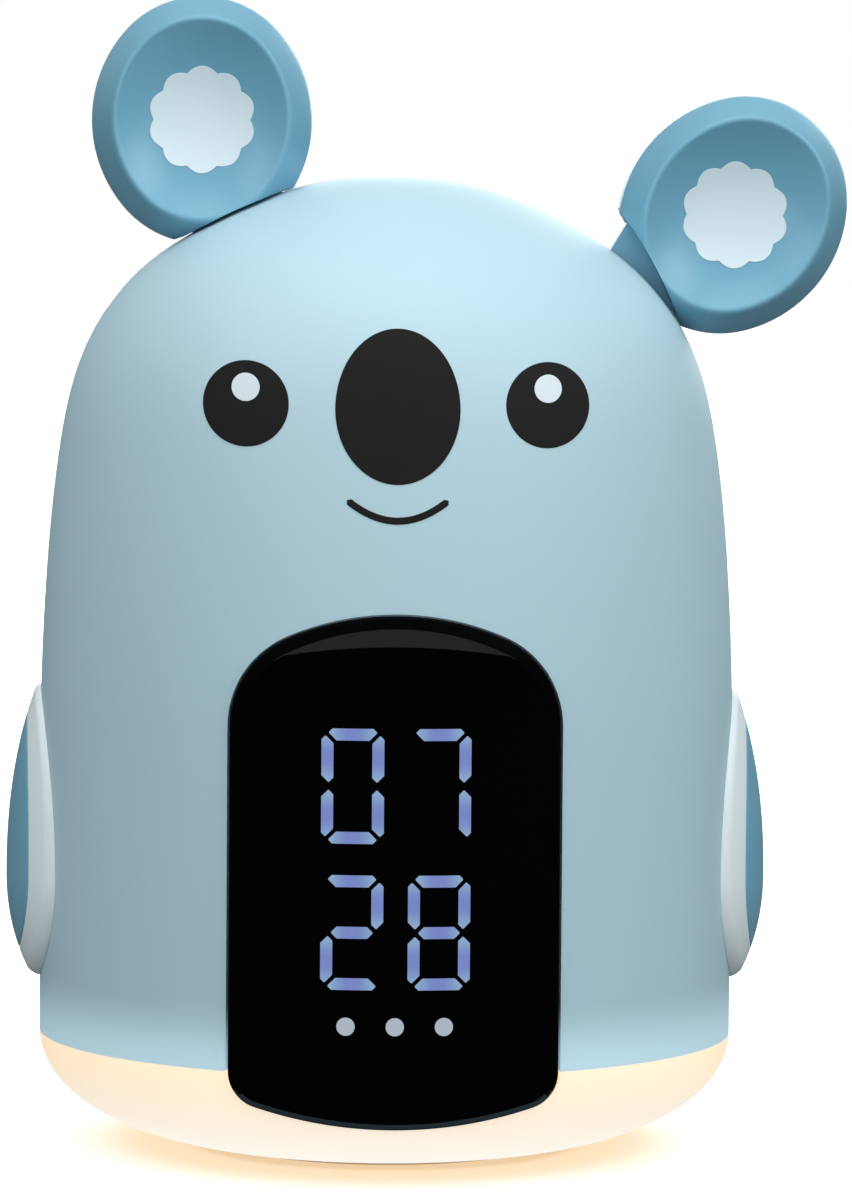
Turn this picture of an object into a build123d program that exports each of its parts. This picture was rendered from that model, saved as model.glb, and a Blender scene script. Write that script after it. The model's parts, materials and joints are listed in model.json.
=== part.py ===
from build123d import *
import os
from math import cos, hypot, radians, sin, sqrt

# Children's alarm clock with a glowing base, a digital display and two ears that swing out.
# Frame: millimetres, origin at the centre of the base on the table, +Z up, display towards -Y.

os.makedirs("parts", exist_ok=True)

# Casing
body_radius = 52.0
seam_height = 17.0  # where the casing meets the glowing bowl
shoulder_height = 60.0  # where the straight side turns into the dome
body_height = 145.0
shell_wall = 2.6
# The dome's outline: share of the casing's radius, share of the dome's height.
dome_curve = (
    (1.0, 0.0),
    (0.984, 0.299),
    (0.948, 0.52),
    (0.877, 0.696),
    (0.732, 0.828),
    (0.549, 0.908),
    (0.318, 0.972),
    (0.0, 1.0),
)
fit_gap = 0.3  # between pieces that are put together by hand
touch_gap = 0.05  # between pieces that seat on each other
ledge = 0.9  # wall left behind a plate that is let into the casing

# Glowing bowl, base and foot
bowl_flat_radius = 22.0
bowl_wall = 2.4
bowl_hole_radius = 26.0
bowl_rebate_radius = 30.0
bowl_rebate_height = 2.0
foot_proud = 0.5  # the foot stands this far below the bowl
foot_inner_radius = 21.0
foot_outer_radius = 25.0
foot_height = 1.6
base_hub_height = 3.6
door_width = 25.0
door_front = 12.5
door_back = 17.8
door_thickness = 1.4
door_corner = 3.0
door_screw_inset = 3.3
door_notch = (12.0, 2.0)  # for a fingernail: long, wide
door_notch_inset = 4.0
door_notch_floor = 0.4
cell_radius = 10.0
cell_thickness = 3.2
holder_wall = 2.2
holder_height = 3.4

# Screws: one size of thread-forming screw all over, and a longer one for the base
screw_radius = 1.0
screw_head_radius = 1.9
screw_head_height = 1.2
screw_length = 6.0
screw_play = 0.03
boss_radius = 3.2
base_screw_radius = 1.3
base_screw_head_radius = 2.5
base_screw_length = 11.0
base_screw_circle = 16.4

# Chassis plate between the casing and the bowl
chassis_gap = 0.2
chassis_thickness = 2.4
skirt_wall = 1.6
skirt_drop = 1.4
case_boss_gap = 2.2  # from the casing's wall to a boss, bridged by its rib
case_boss_height = 14.0
light_board_inner_radius = 27.0
light_board_outer_radius = 39.5
light_board_thickness = 1.6
lamp_count = 10
lamp_size = 3.5
lamp_height = 1.0
reflector_wall = 1.4
reflector_bottom_radius = 22.0
reflector_top_radius = 25.5

# Display
lens_half_width = 23.7
lens_bottom = 9.5
lens_top = 82.8
lens_top_arc = 37.5
lens_bottom_arc = 75.0
lens_top_corner = 14.1
lens_bottom_corner = 5.0
lens_proud = 1.2
lens_edge = 1.1
gasket_thickness = 0.3
window_inset = 3.0
window_bottom = 21.0
flange_width = 1.6
digit_width = 8.9
digit_height = 16.4
digit_stroke = 1.7
digit_shift = 0.42  # half the slot between two segments at a corner
digit_middle_gap = 0.51
digit_corner = 0.18
column_offset = 6.2
hours_height = 58.75
minutes_height = 37.85
indicator_height = 24.4
indicator_pitch = 7.0
indicator_radius = 1.3
display_depth = 14.0  # from the casing's surface back to the display board
display_board_half_width = 19.0
board_thickness = 1.6
lens_post_radius = 2.1
lens_post_x = 15.8
lens_post_low = 25.5
lens_post_high = 71.5
lens_post_start = 2.0  # from the display board to a post
display_board_margin = 2.0
lamp_room = 1.6  # for the lamps between the display board and the light pipes
segment_lamp_height = 0.8
window_corner = 1.5
least_corner = 1.0

# Electronics on the chassis
board_half_width = 26.0
board_half_depth = 22.0
standoff_height = 6.6
standoff_radius = 2.8
standoff_inset = 4.0
chip_size = 10.0
chip_inset = (14.0, 14.0)  # its middle from the board's left and back edges
chip_height = 1.4
can_radius = 3.1
can_height = 9.0
can_inset = 10.0  # from the board's right edge
can_pitch = 8.0
socket_width = 10.0
socket_depth = 4.4
socket_height = 5.0
ribbon_thickness = 0.35
ribbon_width = 8.0
narrow_ribbon_width = 5.0
ribbon_bend = 8.0
narrow_ribbon_bend = 3.0
lead_slot_width = 2.0
lead_inset = 4.5  # the light's lead, from the light board's edge

# Rear panel
panel_half_width = 20.0
panel_bottom = 21.5
panel_head = 10.5  # from the upper row of buttons to the panel's top
panel_arc = 28.0
panel_corner = 7.0
panel_bottom_corner = 4.0
panel_thickness = 1.6
panel_rim = 3.4
panel_screw_x = 16.2
panel_screw_foot = 4.1  # from the panel's bottom
panel_screw_head = 13.4  # from the panel's top
button_radius = 3.4
button_play = 0.25
button_proud = 1.0
button_flange = 1.0
button_flange_thickness = 1.0
button_travel = 0.6
button_edge = 0.6
button_row_drop = 2.0  # from the lower row of buttons to the cable
switch_wall = 1.2
button_board_margin = 1.0
button_ring_gap = 0.65  # from the speaker's ring to a button's flange
button_pitch = 12.0
stem_radius = 1.4
switch_size = 6.0
switch_height = 3.6
button_board_depth = 14.0  # from the casing's surface to the front of the button board
button_board_half_width = 17.0
speaker_radius = 13.0
speaker_rim = 2.0
speaker_depth = 4.0
speaker_ring = 1.4
speaker_flange = 1.2
cone_lip = 0.6
basket_floor = 1.0
magnet_radius = 7.5
magnet_height = 4.5
grille_hole_radius = 0.9
grille_pitch = 3.4
grille_rings = 3
inlet_rise = 6.1  # from the panel's bottom to the middle of the inlet
inlet_width = 9.0
inlet_thickness = 3.3
inlet_depth = 7.4
inlet_wall = 0.35
cradle_inset = 2.0
inlet_back_wall = 1.0
inlet_tongue = 0.7
inlet_recess = 0.2
cradle_side = 1.5

# Ears
ear_stand = 14.25  # middle of the ear above the dome
ear_lean = 24.07  # from upright, seen from the middle of the dome's curve
ear_swing = 36.7
ear_reach = 42.6  # pivot to the middle of the ear
ear_bearing = 12.05  # from upright, when the ear is seated
ear_half_width = 16.4
ear_stretch = 1.122  # the ear is this much longer than wide
ear_depth = 8.0
ear_end_share = 0.927  # end radius of the oval, as a share of its half width
ear_rim = 3.2
ear_bevel = 2.8
ear_floor = 4.2
ear_dish_slope = 40.0
ear_dish_round = 2.2
ear_back_round = 5.0
paddle_inset = 4.4
ear_wall = 1.7
ear_gap = 0.6
lever_thickness = 4.0
slot_play = 0.5
neck_from = -5.7
neck_to = 22.3
shutter_from = -42.0
shutter_to = 59.5
shutter_gap = 0.9
slot_margin = 1.2
hub_radius = 5.0
hub_half_length = 3.8
pin_radius = 1.5
pin_play = 0.05
ear_screw_radius_from_middle = 10.2
cheek_thickness = 2.0
cheek_gap = 0.2
cheek_rise = 10.3
cheek_drop = 8.0
carrier_end = 7.7  # beyond the pivots
carrier_post_margin = 0.6
carrier_flange = 12.0
carrier_thickness = 2.0
dome_post_x = 10.0
sensor_reach = 7.6
sensor_radius = 1.5
sensor_board_end = 4.7  # beyond the pivots
sensor_board_thickness = 1.2
sensor_height = 1.2
sensor_window = 1.0
pin_head_radius = 2.55
pin_head_thickness = 0.8
detent_bump = 0.6
leaf_half_length = 6.5
leaf_thickness = 0.3
leaf_foot = 1.0

# Side arms
arm_half_width = 16.7
arm_middle = 40.8
arm_rise = 28.0
arm_drop = 15.8
arm_proud = 2.4
arm_edge = 1.7
pad_inset = 4.2
pad_proud = 5.1
pad_curve = 16.5  # radius across
pad_length_curve = 62.0  # radius along
pad_seat = 1.2


def circle_through(p, q, r):
    """Middle and radius of the circle through three points."""
    ax, az, bx, bz = q[0] - p[0], q[1] - p[1], r[0] - p[0], r[1] - p[1]
    twice_area = 2 * (ax * bz - az * bx)
    a2, b2 = ax**2 + az**2, bx**2 + bz**2
    x, z = (bz * a2 - az * b2) / twice_area, (ax * b2 - bx * a2) / twice_area
    return p[0] + x, p[1] + z, hypot(x, z)


# Places that follow from the sizes above
shell_inner = body_radius - shell_wall
case_boss_circle = shell_inner - case_boss_gap - boss_radius
lens_radius = body_radius + lens_proud
pocket_radius = shell_inner + ledge
lens_back = pocket_radius + gasket_thickness
chassis_radius = shell_inner - chassis_gap
chassis_top = seam_height + chassis_thickness
main_board_bottom = chassis_top + standoff_height
main_board_top = main_board_bottom + board_thickness
display_back = body_radius - display_depth
button_board_front = body_radius - button_board_depth
button_board_back = button_board_front + board_thickness
inlet_height = panel_bottom + inlet_rise
speaker_ring_radius = speaker_radius + touch_gap + speaker_ring
speaker_height = inlet_height + inlet_thickness / 2 + fit_gap + speaker_ring_radius
button_row_low = speaker_height + speaker_ring_radius + button_ring_gap + button_flange + button_radius
button_row_high = button_row_low + button_pitch
panel_top = button_row_high + panel_head
panel_screw_low = panel_bottom + panel_screw_foot
panel_screw_high = panel_top - panel_screw_head
# The ear sits on the dome where a ball fits the dome's outline at three of its points
dome_rise = body_height - shoulder_height
dome_seat = [(body_radius * r, shoulder_height + dome_rise * z) for r, z in dome_curve[4:7]]
base_x, base_z, base_radius = circle_through(*dome_seat)
ear_x = base_x + (base_radius + ear_stand) * sin(radians(ear_lean))
ear_z = base_z + (base_radius + ear_stand) * cos(radians(ear_lean))
pivot_x = ear_x - ear_reach * sin(radians(ear_bearing))
pivot_height = ear_z - ear_reach * cos(radians(ear_bearing))
cheek_inner = hub_half_length + cheek_gap
cheek_outer = cheek_inner + cheek_thickness
carrier_top = pivot_height + cheek_rise
far = 2 * body_height  # longer than the clock in any direction


def casing_form(inset, bottom):
    """The casing's outer form, moved inwards by inset, from the height bottom to the dome."""
    radius = body_radius - inset
    rise = body_height - shoulder_height - inset
    outline = [(radius * r, shoulder_height + rise * z) for r, z in dome_curve]
    with BuildPart() as form:
        with BuildSketch(Plane.XZ):
            with BuildLine():
                Spline(*outline, tangents=((0, 1), (-1, 0)))
                Polyline(outline[-1], (0, bottom), (radius, bottom), outline[0])
            make_face()
        revolve(axis=Axis.Z)
    return form.part


def bowl_form(inset):
    """The bowl's outer form: a quarter ellipse turned about the clock's axis."""
    across = body_radius - bowl_flat_radius - inset
    down = seam_height - foot_proud - inset
    with BuildPart() as form:
        with BuildSketch(Plane.XZ):
            with BuildLine():
                EllipticalCenterArc((bowl_flat_radius, seam_height), across, down, -90, arc_size=90)
                Polyline(
                    (bowl_flat_radius + across, seam_height),
                    (0, seam_height),
                    (0, seam_height - down),
                    (bowl_flat_radius, seam_height - down),
                )
            make_face()
        revolve(axis=Axis.Z)
    return form.part


def barrel(radius):
    """An upright cylinder through the whole clock."""
    with BuildPart() as form:
        Cylinder(radius, far)
    return form.part


def tombstone(half_width, bottom, top, top_arc, bottom_arc, top_corner, bottom_corner):
    """A plate's outline: upright sides, arched top and bottom, rounded corners."""
    top_side = top - top_arc + sqrt(top_arc**2 - half_width**2)
    bottom_side = bottom + bottom_arc - sqrt(bottom_arc**2 - half_width**2)
    with BuildSketch() as outline:
        with BuildLine():
            ThreePointArc((-half_width, top_side), (0, top), (half_width, top_side))
            Line((half_width, top_side), (half_width, bottom_side))
            ThreePointArc((half_width, bottom_side), (0, bottom), (-half_width, bottom_side))
            Line((-half_width, bottom_side), (-half_width, top_side))
        make_face()
        fillet(outline.vertices().group_by(Axis.Y)[-1], top_corner)
        fillet(outline.vertices().group_by(Axis.Y)[0], bottom_corner)
    return outline.sketch


def lens_outline(inset):
    return tombstone(
        lens_half_width - inset,
        lens_bottom + inset,
        lens_top - inset,
        lens_top_arc - inset,
        lens_bottom_arc + inset,
        lens_top_corner - inset,
        max(lens_bottom_corner - inset, least_corner),
    )


def window_outline(inset):
    """The display's window in the casing, behind the lens and above the chassis."""
    return tombstone(
        lens_half_width - window_inset - inset,
        window_bottom + inset,
        lens_top - window_inset - inset,
        lens_top_arc - window_inset - inset,
        lens_bottom_arc,
        lens_top_corner - window_inset - inset,
        window_corner,
    )


def panel_outline(inset):
    return tombstone(
        panel_half_width - inset,
        panel_bottom + inset,
        panel_top - inset,
        panel_arc - inset,
        lens_bottom_arc,
        panel_corner - inset / 2,
        panel_bottom_corner - inset / 2,
    )


def front_prism(outline):
    """An outline in X and Z, pushed out of the front of the clock."""
    with BuildPart() as prism:
        with BuildSketch(Plane.XZ):
            add(outline)
        extrude(amount=far)
    return prism.part


def back_prism(outline):
    with BuildPart() as prism:
        with BuildSketch(Plane.XZ):
            add(outline)
        extrude(amount=-far)
    return prism.part


def segment_points(name):
    """Corners of one bar of a seven-bar digit, about the middle of the digit."""
    w, h, t, s = digit_width / 2, digit_height / 2, digit_stroke, digit_shift
    tip = t / 3
    bar_end = h - tip - (h - w) - s
    side_end = w - tip + (h - w) - s
    bar_inner = w - t - s
    side_inner = h - t - s
    middle = w - 0.6 * t - s
    if name == "g":
        right = ((middle - t / 2, t / 2), (middle, 0), (middle - t / 2, -t / 2))
        return right + tuple((-x, y) for x, y in reversed(right))
    if name in "ad":
        right = ((bar_end - tip, h), (bar_end, h - tip), (bar_inner, h - t))
        points = right + tuple((-x, y) for x, y in reversed(right))
    else:
        points = (
            (w - tip, side_end),
            (w, side_end - tip),
            (w, digit_middle_gap + 0.6 * t),
            (w - 0.6 * t, digit_middle_gap),
            (w - t, digit_middle_gap + 0.4 * t),
            (w - t, side_inner),
        )
    flip_x = -1 if name in "ef" else 1
    flip_y = -1 if name in "cde" else 1
    return tuple((flip_x * x, flip_y * y) for x, y in points)


digit_bars = {"0": "abcdef", "2": "abdeg", "7": "abc", "8": "abcdefg"}
digit_places = {
    ("hours", -column_offset): ("0", hours_height),
    ("hours", column_offset): ("7", hours_height),
    ("minutes", -column_offset): ("2", minutes_height),
    ("minutes", column_offset): ("8", minutes_height),
}


def bars_sketch(rows, lit, grow):
    """The lit or unlit bars of the digits in the named rows, made larger by grow."""
    with BuildSketch() as bars:
        for (row, x), (figure, z) in digit_places.items():
            if row not in rows:
                continue
            names = [n for n in "abcdefg" if (n in digit_bars[figure]) == lit]
            for name in names:
                with BuildSketch(mode=Mode.PRIVATE) as bar:
                    with Locations((x, z)):
                        Polygon(*segment_points(name), align=None)
                    fillet(bar.vertices(), digit_corner)
                    if grow:
                        offset(amount=grow)
                add(bar.sketch)
    return bars.sketch


def screw(radius, head_radius, head_height, length):
    """A pan-head screw along +Z, its head below the origin, with a cross recess."""
    with BuildPart() as body:
        with BuildSketch(Plane.XY):
            Circle(radius)
        extrude(amount=length)
        with BuildSketch(Plane.XY):
            Circle(head_radius)
        extrude(amount=-head_height)
        fillet(body.faces().sort_by(Axis.Z)[0].edges(), head_height / 3)
        with BuildSketch(Plane.XY.offset(-head_height)):
            Rectangle(head_radius * 1.2, radius / 2)
            Rectangle(radius / 2, head_radius * 1.2)
        extrude(amount=head_height / 2, mode=Mode.SUBTRACT)
    return body.part


small_screw = screw(screw_radius, screw_head_radius, screw_head_height, screw_length)
base_screw = screw(base_screw_radius, base_screw_head_radius, screw_head_height, base_screw_length)


def corner_points(x, y):
    return [(sx * x, sy * y) for sx in (-1, 1) for sy in (-1, 1)]


# ---- Casing ----

case_boss_points = corner_points(case_boss_circle * cos(radians(45)), case_boss_circle * sin(radians(45)))
dome_post_y = cheek_outer + carrier_flange - boss_radius - carrier_post_margin
dome_post_points = corner_points(dome_post_x, dome_post_y)
panel_screw_points = [
    (x, z) for x in (-panel_screw_x, panel_screw_x) for z in (panel_screw_low, panel_screw_high)
]
rib_middle = case_boss_circle + boss_radius

# What is hollow inside the casing: everything but its screw bosses and the posts in the dome
with BuildPart() as cavity:
    add(casing_form(shell_wall, seam_height - fit_gap))
    with BuildSketch(Plane.XY.offset(chassis_top)):
        with Locations(*case_boss_points):
            Circle(boss_radius)
        with PolarLocations(rib_middle, 4, start_angle=45):
            Rectangle(2 * boss_radius, boss_radius)
    extrude(amount=case_boss_height, mode=Mode.SUBTRACT)
    with BuildSketch(Plane.XY.offset(carrier_top)):
        with Locations(*dome_post_points):
            Circle(boss_radius)
    extrude(amount=far, mode=Mode.SUBTRACT)

# The slots that the levers swing in, one each side
slot_from = neck_from - slot_margin
slot_to = neck_to + ear_swing + slot_margin
slot_reach = 2 * ear_reach


def sector_points(start, end, reach, steps=4):
    """Pie slice about the pivot, angles from upright towards the outside."""
    points = [(0, 0)]
    for i in range(steps + 1):
        angle = radians(start + (end - start) * i / steps)
        points.append((reach * sin(angle), reach * cos(angle)))
    return points


with BuildPart() as right_slot:
    with BuildSketch(Plane.XZ.offset(-lever_thickness / 2 - slot_play)):
        with Locations((pivot_x, pivot_height)):
            Polygon(*sector_points(slot_from, slot_to, slot_reach), align=None)
    extrude(amount=lever_thickness + 2 * slot_play)

with BuildPart() as body_shell:
    add(casing_form(0, seam_height))
    add(cavity.part, mode=Mode.SUBTRACT)
    # Pocket for the lens and window for the display
    with BuildPart(mode=Mode.PRIVATE) as lens_pocket:
        add(front_prism(lens_outline(-fit_gap)))
        add(barrel(pocket_radius), mode=Mode.SUBTRACT)
    add(lens_pocket.part, mode=Mode.SUBTRACT)
    with BuildSketch(Plane.XZ.offset(display_back)):
        add(window_outline(0))
    extrude(amount=far, mode=Mode.SUBTRACT)
    # Pocket for the rear panel and the opening behind it
    with BuildPart(mode=Mode.PRIVATE) as panel_pocket:
        add(back_prism(panel_outline(-fit_gap)))
        add(casing_form(panel_thickness + touch_gap, 0), mode=Mode.SUBTRACT)
    add(panel_pocket.part, mode=Mode.SUBTRACT)
    with BuildSketch(Plane.XZ.offset(-button_board_front)):
        add(panel_outline(panel_rim))
        with Locations(*panel_screw_points):
            Circle(screw_radius + screw_play)
    extrude(amount=-far, mode=Mode.SUBTRACT)
    # Slots for the ears' levers
    add(right_slot.part, mode=Mode.SUBTRACT)
    add(mirror(right_slot.part, about=Plane.YZ, mode=Mode.PRIVATE), mode=Mode.SUBTRACT)
    # Pilot holes in the bosses and posts
    with Locations(*[(x, y, chassis_top) for x, y in case_boss_points]):
        Hole(screw_radius + screw_play, depth=screw_length)
    with Locations(*[(x, y, carrier_top) for x, y in dome_post_points]):
        Hole(screw_radius + screw_play, depth=screw_length)
body_shell.part.label = "body_shell"

# ---- Glowing bowl and base ----

with BuildPart() as light_bowl:
    add(bowl_form(0))
    add(bowl_form(bowl_wall), mode=Mode.SUBTRACT)
    with BuildSketch(Plane.XY):
        Circle(bowl_hole_radius)
    extrude(amount=seam_height, mode=Mode.SUBTRACT)
    with BuildSketch(Plane.XY):
        Circle(bowl_rebate_radius)
    extrude(amount=bowl_rebate_height, mode=Mode.SUBTRACT)
    with BuildPart(mode=Mode.PRIVATE) as lens_notch:
        add(front_prism(lens_outline(-fit_gap)))
        add(barrel(lens_back - fit_gap), mode=Mode.SUBTRACT)
    add(lens_notch.part, mode=Mode.SUBTRACT)
light_bowl.part.label = "light_bowl"

base_screw_points = [(-base_screw_circle, 0), (base_screw_circle, 0), (0, -base_screw_circle)]
base_head_seat = foot_proud + screw_head_height + fit_gap
door_top = foot_proud + door_thickness
door_length = door_front + door_back
door_middle = (door_back - door_front) / 2
door_screw_y = door_back - door_screw_inset
door_notch_y = door_notch_inset - door_front

with BuildPart() as base_plate:
    with BuildSketch(Plane.XY):
        Circle(bowl_rebate_radius - fit_gap)
    extrude(amount=bowl_rebate_height - touch_gap)
    add(bowl_form(0), mode=Mode.INTERSECT)
    with BuildSketch(Plane.XY.offset(bowl_rebate_height - touch_gap)):
        Circle(bowl_hole_radius - fit_gap)
    extrude(amount=base_hub_height - bowl_rebate_height + touch_gap)
    with BuildSketch(Plane.XY):
        Circle(foot_outer_radius + touch_gap)
        Circle(foot_inner_radius - touch_gap, mode=Mode.SUBTRACT)
    extrude(amount=foot_height, mode=Mode.SUBTRACT)
    # Recess for the door, hole for the cell, hole for the door's screw
    with BuildSketch(Plane.XY):
        with Locations((0, door_middle)):
            RectangleRounded(door_width + 2 * touch_gap, door_length + 2 * touch_gap, door_corner)
    extrude(amount=door_top + touch_gap, mode=Mode.SUBTRACT)
    with BuildSketch(Plane.XY):
        Circle(cell_radius + fit_gap)
        with Locations((0, door_screw_y)):
            Circle(screw_radius + screw_play)
    extrude(amount=base_hub_height, mode=Mode.SUBTRACT)
    with BuildSketch(Plane.XY):
        with Locations(*base_screw_points):
            Circle(base_screw_radius + fit_gap)
    extrude(amount=base_hub_height, mode=Mode.SUBTRACT)
    with BuildSketch(Plane.XY):
        with Locations(*base_screw_points):
            Circle(base_screw_head_radius + fit_gap)
    extrude(amount=base_head_seat, mode=Mode.SUBTRACT)
base_plate.part.label = "base_plate"

with BuildPart() as foot_ring:
    with BuildSketch(Plane.XY):
        Circle(foot_outer_radius)
        Circle(foot_inner_radius, mode=Mode.SUBTRACT)
    extrude(amount=foot_height)
    fillet(foot_ring.faces().sort_by(Axis.Z)[0].edges(), foot_proud / 2)
foot_ring.part.label = "foot_ring"

with BuildPart() as battery_door:
    with BuildSketch(Plane.XY.offset(foot_proud)):
        with Locations((0, door_middle)):
            RectangleRounded(door_width, door_length, door_corner)
    extrude(amount=door_thickness)
    with BuildSketch(Plane.XY.offset(foot_proud)):
        with Locations((0, door_screw_y)):
            Circle(screw_head_radius + touch_gap)
    extrude(amount=screw_head_height, mode=Mode.SUBTRACT)
    with BuildSketch(Plane.XY.offset(foot_proud)):
        with Locations((0, door_screw_y)):
            Circle(screw_radius + screw_play)
        with Locations((0, door_notch_y)):
            SlotOverall(*door_notch)
    extrude(amount=door_thickness, mode=Mode.SUBTRACT)
    with BuildSketch(Plane.XY.offset(door_top - door_notch_floor)):
        with Locations((0, door_notch_y)):
            SlotOverall(*[length + 1 for length in door_notch])
    extrude(amount=door_notch_floor)
battery_door.part.label = "battery_door"

cell_bottom = door_top + 2 * touch_gap
with BuildPart() as coin_cell:
    with BuildSketch(Plane.XY.offset(cell_bottom)):
        Circle(cell_radius)
    extrude(amount=cell_thickness)
    fillet(coin_cell.edges().filter_by(GeomType.CIRCLE), 0.3)
coin_cell.part.label = "coin_cell"

holder_outer_radius = cell_radius + fit_gap + holder_wall
with BuildPart() as cell_holder:
    with BuildSketch(Plane.XY.offset(base_hub_height)):
        Circle(holder_outer_radius)
    extrude(amount=holder_height)
    with BuildSketch(Plane.XY.offset(base_hub_height)):
        Circle(cell_radius + fit_gap)
    extrude(amount=cell_bottom + cell_thickness + touch_gap - base_hub_height, mode=Mode.SUBTRACT)
cell_holder.part.label = "cell_holder"

with BuildPart() as base_screws:
    for x, y in base_screw_points:
        add(base_screw.moved(Location((x, y, base_head_seat))))
base_screws.part.label = "base_screws"

# ---- Chassis and night light ----

light_board_bottom = seam_height - light_board_thickness
main_board_corners = corner_points(board_half_width - standoff_inset, board_half_depth - standoff_inset)
column_drop = seam_height - base_hub_height - touch_gap
lead_slot_y = light_board_outer_radius - lead_inset

with BuildPart() as chassis:
    with BuildSketch(Plane.XY.offset(seam_height)):
        Circle(chassis_radius)
    extrude(amount=chassis_thickness)
    # Skirt that lines up the bowl with the casing
    with BuildSketch(Plane.XY.offset(seam_height - skirt_drop)):
        Circle(chassis_radius - touch_gap)
        Circle(chassis_radius - skirt_wall, mode=Mode.SUBTRACT)
    extrude(amount=skirt_drop)
    with BuildSketch(Plane.XY.offset(seam_height)):
        with Locations(*base_screw_points):
            Circle(boss_radius)
    extrude(amount=-column_drop)
    with BuildSketch(Plane.XY.offset(chassis_top)):
        with Locations(*main_board_corners):
            Circle(standoff_radius)
    extrude(amount=standoff_height)
    with BuildSketch(Plane.XY.offset(seam_height)):
        with Locations(*case_boss_points):
            Circle(screw_radius + fit_gap)
        with Locations((0, lead_slot_y)):
            Rectangle(socket_width, lead_slot_width)
    extrude(amount=chassis_thickness, mode=Mode.SUBTRACT)
    with BuildSketch(Plane.XY.offset(base_hub_height)):
        with Locations(*base_screw_points):
            Circle(base_screw_radius + screw_play)
    extrude(amount=base_screw_length, mode=Mode.SUBTRACT)
    with BuildSketch(Plane.XY.offset(main_board_bottom)):
        with Locations(*main_board_corners):
            Circle(screw_radius + screw_play)
    extrude(amount=-screw_length, mode=Mode.SUBTRACT)
    # Cradle that carries the power inlet
    inlet_back = sqrt(shell_inner**2 - (inlet_width / 2) ** 2)
    with BuildSketch(Plane.XY.offset(chassis_top)):
        with Locations((0, inlet_back - inlet_depth / 2 - cradle_inset)):
            Rectangle(inlet_width + 2 * cradle_side, inlet_depth - cradle_inset)
    extrude(amount=inlet_height - inlet_thickness / 2 - touch_gap - chassis_top)
chassis.part.label = "chassis"

with BuildPart() as reflector:
    with BuildSketch(Plane.XZ):
        with BuildLine():
            Polyline(
                (reflector_bottom_radius, base_hub_height + touch_gap),
                (reflector_bottom_radius - reflector_wall, base_hub_height + touch_gap),
                (reflector_top_radius - reflector_wall, seam_height - touch_gap),
                (reflector_top_radius, seam_height - touch_gap),
                close=True,
            )
        make_face()
    revolve(axis=Axis.Z)
reflector.part.label = "reflector"

with BuildPart() as light_board:
    with BuildSketch(Plane.XY.offset(seam_height)):
        Circle(light_board_outer_radius)
        Circle(light_board_inner_radius, mode=Mode.SUBTRACT)
    extrude(amount=-light_board_thickness)
light_board.part.label = "light_board"

lamp_circle = (light_board_inner_radius + light_board_outer_radius) / 2
with BuildPart() as light_lamps:
    with BuildSketch(Plane.XY.offset(light_board_bottom)):
        with PolarLocations(lamp_circle, lamp_count):
            Rectangle(lamp_size, lamp_size)
    extrude(amount=-lamp_height)
light_lamps.part.label = "light_lamps"

# ---- Display ----

lens_post_points = [(x, z) for x in (-lens_post_x, lens_post_x) for z in (lens_post_low, lens_post_high)]
indicator_points = [(i * indicator_pitch, indicator_height) for i in (-1, 0, 1)]
all_rows = ("hours", "minutes")
pipe_back = display_back + lamp_room

with BuildPart() as display_lens:
    add(front_prism(lens_outline(0)))
    add(barrel(lens_radius), mode=Mode.INTERSECT)
    add(barrel(lens_back), mode=Mode.SUBTRACT)
    front_face = display_lens.faces().filter_by(GeomType.CYLINDER).sort_by(Axis.Y)[0]
    fillet(front_face.edges(), lens_edge)
    # Posts at the back that take the display's screws
    with BuildPart(mode=Mode.PRIVATE) as lens_posts:
        with BuildSketch(Plane.XZ.offset(display_back + lens_post_start)):
            with Locations(*lens_post_points):
                Circle(lens_post_radius)
        extrude(amount=far)
        add(barrel(lens_back + lens_edge / 2), mode=Mode.INTERSECT)
    add(lens_posts.part)
    with BuildSketch(Plane.XZ.offset(display_back)):
        with Locations(*lens_post_points):
            Circle(screw_radius + screw_play)
    extrude(amount=screw_length, mode=Mode.SUBTRACT)
    # Windows for the lit bars and the indicators
    with BuildSketch(Plane.XZ.offset(display_back)):
        add(bars_sketch(all_rows, True, touch_gap))
        with Locations(*indicator_points):
            Circle(indicator_radius + touch_gap)
    extrude(amount=far, mode=Mode.SUBTRACT)
display_lens.part.label = "display_lens"

with BuildPart() as display_gasket:
    with BuildSketch(Plane.XZ):
        add(lens_outline(lens_edge))
        add(window_outline(-touch_gap), mode=Mode.SUBTRACT)
    extrude(amount=far)
    add(barrel(lens_back - touch_gap), mode=Mode.INTERSECT)
    add(barrel(pocket_radius), mode=Mode.SUBTRACT)
    with BuildSketch(Plane.XY.offset(seam_height + touch_gap)):
        Rectangle(far, far)
    extrude(amount=-far, mode=Mode.SUBTRACT)
display_gasket.part.label = "display_gasket"

with BuildPart() as display_housing:
    with BuildSketch(Plane.XZ.offset(display_back)):
        add(window_outline(-flange_width))
    extrude(amount=far)
    add(casing_form(shell_wall + touch_gap, 0), mode=Mode.INTERSECT)
    with BuildPart(mode=Mode.PRIVATE) as housing_nose:
        with BuildSketch(Plane.XZ.offset(display_back)):
            add(window_outline(fit_gap))
        extrude(amount=far)
        add(barrel(lens_back - touch_gap), mode=Mode.INTERSECT)
    add(housing_nose.part)
    with BuildSketch(Plane.XZ.offset(display_back)):
        add(bars_sketch(all_rows, True, touch_gap))
        add(bars_sketch(all_rows, False, touch_gap))
        with Locations(*indicator_points):
            Circle(indicator_radius + touch_gap)
        with Locations(*lens_post_points):
            Circle(lens_post_radius + touch_gap)
    extrude(amount=far, mode=Mode.SUBTRACT)
display_housing.part.label = "display_housing"

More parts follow.
